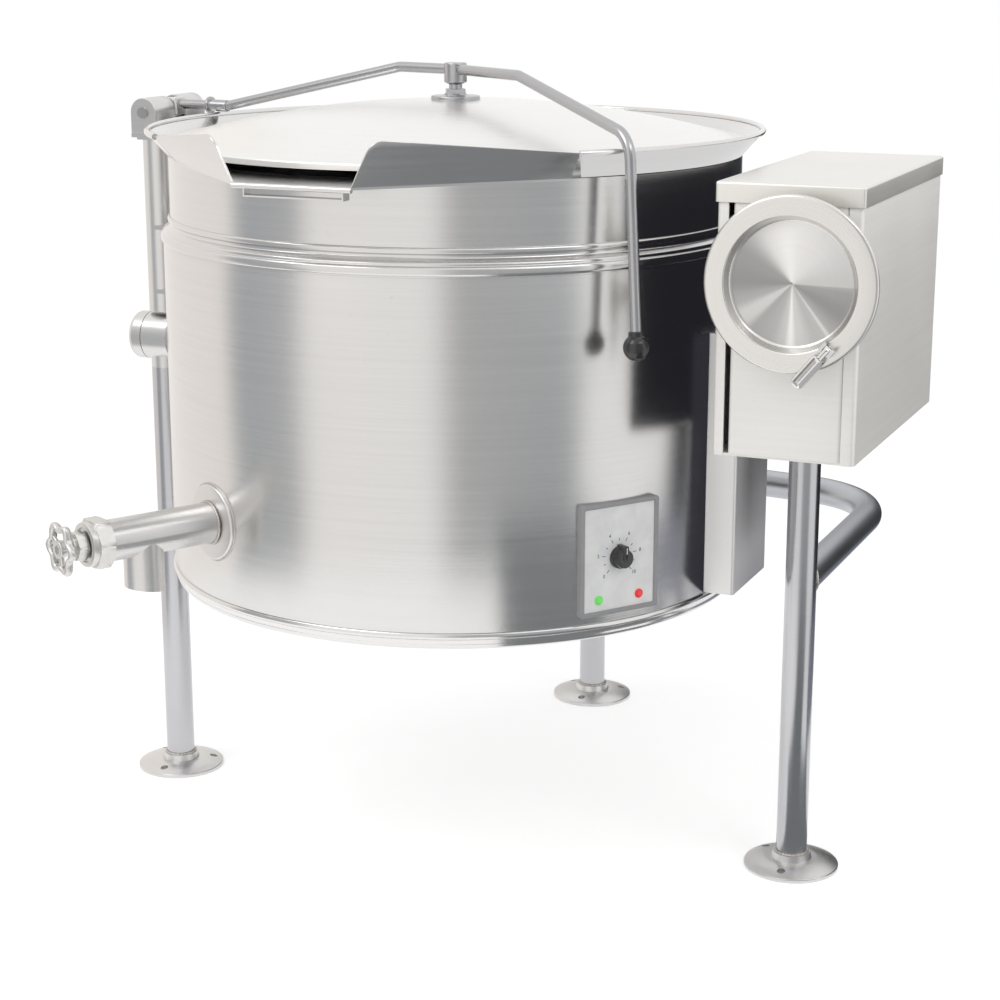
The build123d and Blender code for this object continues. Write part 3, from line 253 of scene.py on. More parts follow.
def eased_block(size: Triple, corner: float, edge: float, seat: Seat) -> Array:
    """Rounded rectangle pushed outwards, with its front and back edges eased.

    The outline shrinks by edge*(1-sin a) while its height moves by edge*(1-cos a) over a quarter turn.

    Args:
        size: along local X, Y and Z; Z runs from 0.
        corner: radius of the upright corners.
        edge: radius of the eased edges.
        seat: place of the block's back face.

    Returns:
        Closed grid whose first and last rows are almost points.
    """
    quarter = np.linspace(0.0, QUARTER, 5)
    inset, rise = list(edge * (1 - np.sin(quarter))), list(edge * (1 - np.cos(quarter)))
    shut = min(size[:2]) / 2 - 1e-6
    heights = [0.0, *rise, *[size[2] - h for h in rise[::-1]], size[2]]
    return tapered(size[:2], corner, 1e-6, [shut, *inset, *inset[::-1], shut], heights, seat)


def capped(grid: Array) -> Array:
    """Grid with a row of its mean point added at each end, so that the ends are closed."""
    ends = [np.broadcast_to(row.mean(axis=0), row.shape)[None] for row in (grid[0], grid[-1])]
    return np.concatenate([ends[0], grid, ends[1]])


def folded_sheet(chain: Array, thickness: float, low: float, high: float, seat: Seat) -> Array:
    """Sheet metal bent along a chain in local X and Y, standing between two local heights.

    Each chain point is offset half the thickness to both sides along the chain's normal, and the
    loop round the sheet's section is eased at its corners.

    Args:
        chain: points of the middle of the sheet.
        thickness: sheet thickness.
        low: height of the lower edge.
        high: height of the upper edge.
        seat: place of the chain.

    Returns:
        Closed grid, chain by loop.
    """
    ahead = unit(np.gradient(chain, axis=0))
    normal = np.stack([-ahead[:, 1], ahead[:, 0]], axis=-1)
    h = thickness / 2
    loop = rounded([(-h, low), (h, low), (h, high), (-h, high)], 0.0004, closed=True, steps=3)
    plan = chain[:, None] + loop[None, :, :1] * normal[:, None]
    level = np.broadcast_to(loop[None, :, 1:], (*plan.shape[:2], 1))
    return seat.place(capped(np.concatenate([plan, level], axis=-1)))


def round_bar(path: Array, radius: float, side: Triple, steps: int = 28) -> Array:
    """Closed round bar along a path, its ends eased by 0.6 mm.

    Args:
        path: points of the centre line.
        radius: radius of the bar.
        side: vector that is never parallel to the path.
        steps: points round the bar.

    Returns:
        Closed grid, path by section.
    """
    ease = 0.0006
    grid = carry(path, circle(radius, steps), side)
    ends = []
    for row, beyond in ((grid[0], grid[1]), (grid[-1], grid[-2])):
        middle = row.mean(axis=0)
        inward = unit(beyond.mean(axis=0) - middle)
        ends.append((middle + (row - middle) * (1 - ease / radius), row + inward * ease))
    return capped(np.stack([*ends[0], *grid[1:-1], *ends[1][::-1]]))


def weld_bead(path: Array, size: float) -> Array:
    """Fillet weld along a closed path: a thin round bead whose radius swells and shrinks evenly.

    The radius is size*(1 + 0.16*cos(k*s)), with one ripple for about each 2.6 sizes of length s.

    Args:
        path: closed loop of points, the first not repeated.
        size: mean radius of the bead.

    Returns:
        Grid that wraps both ways.
    """
    ahead = unit(np.roll(path, -1, axis=0) - np.roll(path, 1, axis=0))
    length = np.cumsum(np.linalg.norm(path - np.roll(path, 1, axis=0), axis=1))
    waves = max(8, round(length[-1] / (2.6 * size)))
    swell = size * (1 + 0.16 * np.cos(waves * TAU * length / length[-1]))
    side = unit(np.cross(ahead, np.array([0.31, 0.17, 0.93])))
    ring = circle(1.0, 8)
    around = ring[None, :, :1] * side[:, None] + ring[None, :, 1:] * np.cross(ahead, side)[:, None]
    return path[:, None] + swell[:, None, None] * around


def ring_path(seat: Seat, radius: float) -> Array:
    """Closed circle about the seat's outward axis."""
    return seat.place(np.column_stack([circle(radius, 144), np.zeros(144)]))


def saddle(tube_r: float, drum_r: float, steps: int = 144) -> Array:
    """Closed local line where a tube meets a drum: outwards = sqrt(drum_r^2 - across^2)."""
    ring = circle(tube_r, steps)
    return np.column_stack([ring, np.sqrt(drum_r ** 2 - ring[:, 0] ** 2)])


def quads(rows: int, cols: int, wrap_rows: bool = False, wrap_cols: bool = True) -> Array:
    """Four-sided faces between the neighbours of a grid of points.

    Args:
        rows: rows of the grid.
        cols: columns of the grid.
        wrap_rows: whether the last row joins the first.
        wrap_cols: whether the last column joins the first.

    Returns:
        Four point numbers to a row.
    """
    r = np.arange(rows if wrap_rows else rows - 1)[:, None]
    c = np.arange(cols if wrap_cols else cols - 1)[None, :]
    r2, c2 = (r + 1) % rows, (c + 1) % cols
    return np.stack([r * cols + c, r * cols + c2, r2 * cols + c2, r2 * cols + c], axis=-1).reshape(-1, 4)


# ------------------------------------------------------------------ meshes and pieces
class Body(Enum):
    """The moving bodies of the frame."""

    FRAME = "frame"
    VESSEL = "vessel"
    COVER = "cover"
    WHEEL = "hand_wheel"
    GRIP = "crank_grip"
    STEM = "valve_stem"
    KNOB = "thermostat_knob"


def new_mesh(name: str, points: Array, faces: Array) -> Mesh:
    """Mesh from points and four-sided faces."""
    mesh = bpy.data.meshes.new(name)
    mesh.from_pydata(points.reshape(-1, 3).tolist(), [], faces.tolist())
    return mesh


def new_object(name: str, data: ID) -> Object:
    """Object over its data, linked to the scene."""
    obj = bpy.data.objects.new(name, data)
    bpy.context.scene.collection.objects.link(obj)
    return obj


def turned_map(mesh: Mesh, seat: Seat) -> None:
    """UV map of a turned piece: U is the angle about the seat's axis in turns, V the distance from it.

    Where a face lies across the end of the turn, its low angles gain one turn.

    Args:
        mesh: the piece's mesh.
        seat: whose outward axis is the axis.
    """
    flat = np.empty(len(mesh.vertices) * 3)
    mesh.vertices.foreach_get("co", flat)
    local = (flat.reshape(-1, 3) - np.array(seat.origin)) @ seat.axes().T
    corner = np.empty(len(mesh.loops), int)
    mesh.loops.foreach_get("vertex_index", corner)
    first = np.empty(len(mesh.polygons), int)
    mesh.polygons.foreach_get("loop_start", first)
    turn = (np.arctan2(local[:, 1], local[:, 0]) / TAU)[corner]
    reach = np.hypot(local[:, 0], local[:, 1])[corner]
    top = np.repeat(np.maximum.reduceat(turn, first), np.diff(np.append(first, len(corner))))
    turn = np.where(top - turn > 0.5, turn + 1.0, turn)
    layer = mesh.uv_layers.new(name=TURNED_MAP)
    layer.data.foreach_set("uv", np.stack([turn, reach], axis=-1).ravel())


def seated(name: str, mesh: Mesh, body: Body, look: "Finish", slot: str, *nodes: str) -> None:
    """Makes the mesh an object on a body, gives it its finish, and sets it in place of frame nodes.

    Args:
        name: name of the object.
        mesh: its mesh.
        body: body that it rides on.
        look: finish of the piece.
        slot: not used.
        nodes: frame nodes that the piece replaces.
    """
    obj = new_object(name, mesh)
    mesh.materials.append(look.material())
    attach(obj, body.value)
    if nodes:
        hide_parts(*nodes)
    LOG.info("%s: %d points on %s", name, len(mesh.vertices), body.value)


class Piece:
    """One visible piece: point grids gathered into a single mesh."""

    def __init__(self, name: str, body: Body) -> None:
        """Starts an empty piece that rides on a body."""
        self.name, self.body = name, body
        self.points: list[Array] = []
        self.faces: list[Array] = []

    def add(self, grid: Array, ring: bool = False) -> "Piece":
        """Adds a grid of points, rows by columns; in a ring the last row joins the first.

        Args:
            grid: rows by columns by three; its columns always join up.
            ring: whether its rows join up as well.

        Returns:
            This piece.
        """
        self.faces.append(quads(*grid.shape[:2], wrap_rows=ring) + sum(map(len, self.points)))
        self.points.append(grid.reshape(-1, 3))
        return self

    def weld(self, path: Array, size: float) -> "Piece":
        """Adds a weld bead along a closed path."""
        return self.add(weld_bead(path, size), ring=True)

    def finish(self, look: "Finish", slot: str, *nodes: str, crease: float = CREASE,
               turned: Seat | None = None) -> None:
        """Makes the mesh, joins its seams and poles, and sets it on the frame.

        Args:
            look: finish of the piece.
            slot: not used.
            nodes: frame nodes that the piece replaces.
            crease: edges sharper than this angle stay crisp.
            turned: seat whose outward axis the piece's UV map turns about, where it needs one.
        """
        mesh = new_mesh(self.name, np.concatenate(self.points), np.concatenate(self.faces))
        work = bmesh.new()
        work.from_mesh(mesh)
        bmesh.ops.remove_doubles(work, verts=work.verts, dist=2e-6)
        bmesh.ops.dissolve_degenerate(work, edges=work.edges, dist=1e-7)
        bmesh.ops.recalc_face_normals(work, faces=work.faces)
        work.to_mesh(mesh)
        work.free()
        mesh.shade_smooth()
        mesh.set_sharp_from_angle(angle=crease)
        if turned is not None:
            turned_map(mesh, turned)
        seated(self.name, mesh, self.body, look, slot, *nodes)


# ------------------------------------------------------------------ shader nodes
Source = NodeSocket | float | tuple[float, ...]


def feed(tree: NodeTree, socket: NodeSocket, source: Source) -> None:
    """Links a socket to another one, or sets its value."""
    if isinstance(source, NodeSocket):
        tree.links.new(source, socket)
    else:
        socket.default_value = source


def node(tree: NodeTree, kind: str, inputs: dict[str | int, Source] | None = None,
         **settings: str | bool | NodeTree) -> Node:
    """New shader node.

    Args:
        tree: tree that it joins.
        kind: type of the node without its ShaderNode prefix.
        inputs: a socket or a value for each input that is set.
        settings: properties of the node.

    Returns:
        The node.
    """
    made = tree.nodes.new("ShaderNode" + kind)
    for label, value in settings.items():
        setattr(made, label, value)
    for label, source in (inputs or {}).items():
        feed(tree, made.inputs[label], source)
    return made


def maths(tree: NodeTree, operation: str, *sources: Source, clamp: bool = False) -> NodeSocket:
    """Math node fed by sockets or numbers; returns its result."""
    return node(tree, "Math", dict(enumerate(sources)), operation=operation, use_clamp=clamp).outputs[0]


def noise(tree: NodeTree, vector: NodeSocket, scale: float, detail: float) -> NodeSocket:
    """Noise texture on a vector; returns its value."""
    given = {"Vector": vector, "Scale": scale, "Detail": detail, "Roughness": 0.55}
    return node(tree, "TexNoise", given).outputs[0]


def mixed(tree: NodeTree, factor: Source, first: Source, second: Source,
          blend: str = "MIX") -> NodeSocket:
    """Colour mix of two sources; returns its result."""
    both = node(tree, "Mix", data_type="RGBA", blend_type=blend)
    for label, source in (("Factor", factor), ("A", first), ("B", second)):
        feed(tree, both.inputs[label], source)
    return both.outputs["Result"]


def seen(tree: NodeTree) -> NodeSocket:
    """1 for camera, glossy and see-through rays and 0 for the rest."""
    path = node(tree, "LightPath").outputs
    return maths(tree, "MAXIMUM", path["Is Camera Ray"],
                     maths(tree, "MAXIMUM", path["Is Glossy Ray"], path["Is Transmission Ray"]))


def new_group(name: str, inputs: dict[str, float],
              outputs: list[str]) -> tuple[NodeTree, Node, Node]:
    """Empty shader node group with a Vector socket and named value sockets.

    Args:
        name: name of the group.
        inputs: names and defaults of the value inputs.
        outputs: names of the value outputs.

    Returns:
        The group, its input node and its output node.
    """
    group = bpy.data.node_groups.new(name, "ShaderNodeTree")
    group.interface.new_socket("Vector", in_out="INPUT", socket_type="NodeSocketVector")
    for label, default in inputs.items():
        group.interface.new_socket(label, socket_type="NodeSocketFloat").default_value = default
    for label in outputs:
        group.interface.new_socket(label, in_out="OUTPUT", socket_type="NodeSocketFloat")
    return group, group.nodes.new("NodeGroupInput"), group.nodes.new("NodeGroupOutput")


def make_grain(name: str, turned: bool, coarse: tuple[float, float]) -> None:
    """Grain group: noise drawn out along X and Y and squeezed along Z, fine and coarse.

    Fine is the groove height and Coarse the broader bands. In turned grain the distance from the
    Z axis, sqrt(x^2 + y^2), stands for Z, so that the lines are rings.

    Args:
        name: name of the group.
        turned: whether the lines are rings.
        coarse: shares of Lines and Drift that the coarse noise takes.
    """
    group, given, put = new_group(name, {"Lines": 900.0, "Drift": 5.0}, ["Fine", "Coarse"])
    x, y, z = node(group, "SeparateXYZ", {0: given.outputs["Vector"]}).outputs
    if turned:
        squares = [maths(group, "MULTIPLY", side, side) for side in (x, y)]
        z = maths(group, "SQRT", maths(group, "ADD", *squares))
    for label, lines, drift in (("Fine", 1.0, 1.0), ("Coarse", *coarse)):
        along = maths(group, "MULTIPLY", given.outputs["Drift"], drift)
        across = maths(group, "MULTIPLY", given.outputs["Lines"], lines)
        parts = [maths(group, "MULTIPLY", *pair) for pair in ((x, along), (y, along), (z, across))]
        joined = node(group, "CombineXYZ", dict(enumerate(parts))).outputs[0]
        feed(group, put.inputs[label], noise(group, joined, 1.0, 3.0))


def make_handling() -> None:
    """Handling marks: broad cloudy smears and a few small spots, each from 0 to 1."""
    group, given, put = new_group("handling", {"Smear size": 6.0}, ["Smear", "Spots"])
    vector = given.outputs["Vector"]
    cloud = node(group, "TexNoise", {"Vector": vector, "Scale": given.outputs["Smear size"],
                                     "Detail": 4.0, "Distortion": 0.6}).outputs[0]
    smear = maths(group, "SUBTRACT", maths(group, "MULTIPLY", cloud, 2.2), 0.6, clamp=True)
    spots = maths(group, "SUBTRACT", noise(group, vector, 150.0, 1.0), 0.68)
    feed(group, put.inputs["Smear"], smear)
    feed(group, put.inputs["Spots"], maths(group, "MULTIPLY", spots, 6.0, clamp=True))


def new_material(name: str) -> tuple[Material, NodeTree, Node]:
    """Material with nodes: the material, its tree and its shader."""
    material = bpy.data.materials.new(name)
    material.use_nodes = True
    return material, material.node_tree, material.node_tree.nodes["Principled BSDF"]


def handled(tree: NodeTree, size: float) -> tuple[NodeSocket, ...]:
    """Object coordinates with their smears and spots, for smears of one size."""
    coords = node(tree, "TexCoord").outputs["Object"]
    marks = node(tree, "Group", node_tree=bpy.data.node_groups["handling"])
    feed(tree, marks.inputs["Vector"], coords)
    feed(tree, marks.inputs["Smear size"], size)
    return coords, marks.outputs["Smear"], marks.outputs["Spots"]


def bumped(tree: NodeTree, height: NodeSocket, strength: float, distance: float) -> NodeSocket:
    """Bump of a height; returns its normal."""
    given = {"Height": height, "Strength": strength, "Distance": distance}
    return node(tree, "Bump", given).outputs[0]


# ------------------------------------------------------------------ finishes
class Lay(Enum):
    """Which way the lines of a steel finish run."""

    LEVEL = "level lines"
    UPRIGHT = "upright lines"
    RINGS = "rings about the upright axis"
    FRONT_RINGS = "rings about an axis that faces the front"
    BLASTED = "no direction"


@dataclass(frozen=True)
class Finish:
    """A finish whose material is made at its first use."""

    name: str

    @cache
    def material(self) -> Material:
        """The finish's material, made once."""
        return self.make()

    def make(self) -> Material:
        """Builds the material, in each kind of finish's own way."""
        raise NotImplementedError(self.name)


@dataclass(frozen=True)
class SteelFinish(Finish):
    """Stainless steel, or another metal, with a brushed, turned or blasted surface.

    Depth is the strength of the bump, spread the play of the roughness, tone that of the colour
    and stretch the anisotropy. Painted reflections lists the painted reflection of a turned face, multiplied
    into its colour as bands by angle: turn and tone.
    """

    colour: Triple = (0.71, 0.70, 0.69)
    rough: float = 0.24
    lay: Lay = Lay.LEVEL
    lines: float = 900.0
    depth: float = 0.10
    spread: float = 0.07
    tone: float = 0.05
    stretch: float = 0.0
    metal: float = 1.0
    centre: Triple = (0.0, 0.0, 0.0)
    # painted reflection: turn and tone of each wedge band, multiplied into the colour
    painted_reflections: tuple[tuple[float, float], ...] = ()

    def make(self) -> Material:
        """Builds the material: grain height to bump, grain and smears to roughness and colour."""
        material, tree, shader = new_material(self.name)
        coords, smear, spots = handled(tree, 6.0)
        tip = QUARTER if self.lay in (Lay.UPRIGHT, Lay.FRONT_RINGS) else 0.0
        mapping = node(tree, "Mapping", vector_type="TEXTURE")
        turned = self.lay in (Lay.RINGS, Lay.FRONT_RINGS)
        group = bpy.data.node_groups["turned_grain" if turned else "brushed_grain"]
        grain = node(tree, "Group", node_tree=group)
        drift = self.lines * 0.8 if self.lay is Lay.BLASTED else 5.0
        for owner, label, source in (
                (mapping, "Vector", coords), (mapping, "Location", self.centre),
                (mapping, "Rotation", (tip, 0.0, 0.0)), (grain, "Vector", mapping.outputs[0]),
                (grain, "Lines", self.lines), (grain, "Drift", drift)):
            feed(tree, owner.inputs[label], source)
        fine, coarse = grain.outputs["Fine"], grain.outputs["Coarse"]
        rough = maths(tree, "MULTIPLY_ADD", fine, self.spread, self.rough - self.spread / 2)
        rough = maths(tree, "MULTIPLY_ADD", coarse, self.spread * 0.8, rough)
        rough = maths(tree, "MULTIPLY_ADD", smear, self.spread * 0.7, rough)
        shade = [c * (1 - self.tone * 2.0) for c in self.colour]
        bright = [min(1.0, c * (1 + self.tone)) for c in self.colour]
        share = maths(tree, "MULTIPLY_ADD", fine, 0.6, maths(tree, "MULTIPLY", coarse, 0.5))
        share = maths(tree, "MULTIPLY_ADD", spots, -0.3, share, clamp=True)
        colour = mixed(tree, share, (*shade, 1.0), (*bright, 1.0))
        # Painted reflection: bright and dark wedge bands round the axis are multiplied into the base colour.
        if self.painted_reflections:
            tangent = node(tree, "Tangent", direction_type="UV_MAP", uv_map=TURNED_MAP)
            feed(tree, shader.inputs["Tangent"], tangent.outputs[0])
            colour = mixed(tree, 1.0, colour, self.painted_reflection_tone(tree), "MULTIPLY")
        for label, source in (
                ("Roughness", rough), ("Base Color", colour), ("Metallic", self.metal),
                ("Anisotropic", self.stretch), ("Anisotropic Rotation", 0.25),
                ("Normal", bumped(tree, fine, self.depth, 0.0004))):
            feed(tree, shader.inputs[label], source)
        return material

    def painted_reflection_tone(self, tree: NodeTree) -> NodeSocket:
        """Painted reflection: tone of the bright and dark wedge bands, which follows the angle: U of the
        piece's own map.
        """
        place = node(tree, "UVMap", uv_map=TURNED_MAP).outputs[0]
        angle = node(tree, "SeparateXYZ", {0: place}).outputs[0]
        ramp = node(tree, "ValToRGB", {"Fac": maths(tree, "FRACT", angle, 0.0)})
        ramp.color_ramp.interpolation = "EASE"
        marks = ramp.color_ramp.elements
        marks[0].color = marks[-1].color = (0.95, 0.95, 0.95, 1.0)
        for turn, tone in self.painted_reflections:
            marks.new(turn).color = (tone, tone, tone * 1.01, 1.0)
        return ramp.outputs[0]


@dataclass(frozen=True)
class PlasticFinish(Finish):
    """Moulded plastic, enamel or printed film with a faint skin texture."""

    colour: Triple
    rough: float = 0.3
    skin: float = 0.12
    coat: float = 0.0
    glow: float = 0.0

    def make(self) -> Material:
        """Builds the material: skin noise to bump and roughness, smears to colour."""
        material, tree, shader = new_material(self.name)
        coords, smear, _ = handled(tree, 45.0)
        skin = noise(tree, coords, 1600.0, 2.0)
        rough = maths(tree, "MULTIPLY_ADD", smear, 0.14, self.rough - 0.04)
        smeared = [c * 0.86 + 0.012 for c in self.colour]
        for label, source in (
                ("Roughness", maths(tree, "MULTIPLY_ADD", skin, 0.08, rough)),
                ("Base Color", mixed(tree, smear, (*self.colour, 1.0), (*smeared, 1.0))),
                ("Normal", bumped(tree, skin, self.skin, 0.0003)), ("Coat Weight", self.coat)):
            feed(tree, shader.inputs[label], source)
        if self.glow:
            feed(tree, shader.inputs["Emission Color"], (*self.colour, 1.0))
            feed(tree, shader.inputs["Emission Strength"], self.glow)
        return material


WHEEL_LOW, WHEEL_HIGH, WHEEL_MIDDLE = box("hand_wheel")
WHEEL_CENTRE = (WHEEL_MIDDLE.x, 0.0, WHEEL_MIDDLE.z)
# Painted reflection on the wheel's dish: turn and tone of each bright or dark wedge band.
PAINTED_WEDGE_TONES = (
    (0.08, 1.0), (0.22, 0.97), (0.33, 0.86), (0.42, 0.55), (0.50, 0.50), (0.555, 0.66), (0.59, 0.92),
    (0.61, 0.88), (0.64, 0.55), (0.69, 0.58), (0.73, 0.70), (0.75, 0.98), (0.77, 0.68), (0.82, 0.56),
    (0.845, 0.62), (0.855, 0.90), (0.865, 0.60), (0.92, 0.50), (0.98, 0.60), (0.995, 0.70))
SHELL = SteelFinish("brushed_shell", rough=0.17, lines=1500.0, depth=0.12, stretch=0.40)
NECK = SteelFinish("brushed_neck", rough=0.15, lines=1700.0, depth=0.08, stretch=0.35)
BRIGHT = SteelFinish("polished_edge", (0.76, 0.75, 0.74), rough=0.12, lines=1200.0, depth=0.04,
                     spread=0.05)
BAR = SteelFinish("drawn_bar", (0.47, 0.47, 0.48), rough=0.20, lines=1200.0, depth=0.03, tone=0.03)
LID = SteelFinish("spun_lid", (0.90, 0.89, 0.87), lay=Lay.RINGS, depth=0.02, tone=0.03)
WING = SteelFinish("lip_sheet", rough=0.16, lines=1300.0, depth=0.07)
LINER = SteelFinish("liner_inside", (0.66, 0.65, 0.64), rough=0.28, lines=1000.0, depth=0.08)
# The dish's colour carries a painted reflection in wedge bands.
DISH = SteelFinish("turned_wheel", (0.90, 0.885, 0.86), rough=0.34, lay=Lay.FRONT_RINGS, lines=1400.0,
                   stretch=0.94, centre=WHEEL_CENTRE, painted_reflections=PAINTED_WEDGE_TONES)
WHEEL_RING = SteelFinish("wheel_ring", (0.77, 0.75, 0.72), rough=0.22, lay=Lay.FRONT_RINGS, depth=0.08,
                         centre=WHEEL_CENTRE)
CONSOLE = SteelFinish("console_satin", (0.94, 0.92, 0.885), rough=0.42, lines=1400.0, depth=0.05,
                      metal=0.35)
CONSOLE_TOP = SteelFinish("console_cover", (0.86, 0.84, 0.80), rough=0.34, lines=1400.0, depth=0.05,
                          metal=0.8)
FRAME_TUBE = SteelFinish("frame_tube", (0.52, 0.53, 0.56), rough=0.30, lines=1600.0, depth=0.05,
                         tone=0.03)
LEG = SteelFinish("leg_satin", (0.55, 0.55, 0.57), rough=0.16, lines=1600.0, depth=0.05, tone=0.03)
RACEWAY = SteelFinish("raceway_satin", (0.90, 0.885, 0.87), rough=0.44, lay=Lay.UPRIGHT, lines=1500.0,
                      depth=0.06)
TUBE = SteelFinish("satin_tube", (0.70, 0.69, 0.68), rough=0.25, lines=1600.0, depth=0.05, tone=0.03)
FLAT = SteelFinish("satin_plate", rough=0.26, lines=1500.0, depth=0.06)
CAST = SteelFinish("cast_steel", (0.70, 0.69, 0.67), rough=0.30, lay=Lay.BLASTED, lines=700.0,
                   depth=0.22, tone=0.08)
MACHINE = SteelFinish("machine_steel", (0.42, 0.41, 0.40), rough=0.36, lay=Lay.RINGS)
WELD = SteelFinish("weld_steel", (0.60, 0.57, 0.53), rough=0.34, lay=Lay.BLASTED, lines=500.0,
                   depth=0.3, tone=0.12)
BRONZE = SteelFinish("bronze_bush", (0.55, 0.33, 0.14), rough=0.32, lay=Lay.RINGS)
BLACK = PlasticFinish("black_plastic", (0.012, 0.012, 0.013), rough=0.16, coat=0.4)
FILM = PlasticFinish("panel_film", (0.83, 0.84, 0.83), rough=0.38, skin=0.05)
BEZEL = PlasticFinish("bezel_grey", (0.33, 0.33, 0.34), rough=0.42)
INK = PlasticFinish("panel_ink", (0.03, 0.03, 0.04), rough=0.5, skin=0.02)
BLUE = PlasticFinish("panel_blue", (0.05, 0.13, 0.38), rough=0.5, skin=0.02)
GREEN = PlasticFinish("green_lens", (0.13, 0.72, 0.10), rough=0.12, coat=0.6, glow=0.25)
RED = PlasticFinish("red_lens", (0.80, 0.02, 0.02), rough=0.12, coat=0.6, glow=0.25)
DRESSED = {
    LEG: ("left_leg", "right_leg", "rear_leg"),
    TUBE: ("hinge_post", "left_trunnion", "right_trunnion", "trunnion_cap", "left_bearing_housing",
           "drawoff_body", "valve_stem"),
    FLAT: ("left_foot", "right_foot", "rear_foot", "hinge_carrier", "bottom_cover",
           "strainer_bracket", "crank_bracket"),
    FRAME_TUBE: ("left_frame_tube", "right_frame_tube"),
    CAST: ("right_bearing_block", "worm_bearing_front", "worm_bearing_rear"),
    MACHINE: ("steam_jacket", "hinge_pin", "worm_sector", "worm_shaft", "valve_plug"),
    LINER: ("kettle_liner",),
    BRONZE: ("left_trunnion_bush",),
    FILM: ("control_plate",),
}


def dress_frame() -> None:
    """Gives each frame node that stays in view the finish of its part."""
    for finish, names in DRESSED.items():
        for name in names:
            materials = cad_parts[name].data.materials
            materials.clear()
            materials.append(finish.material())


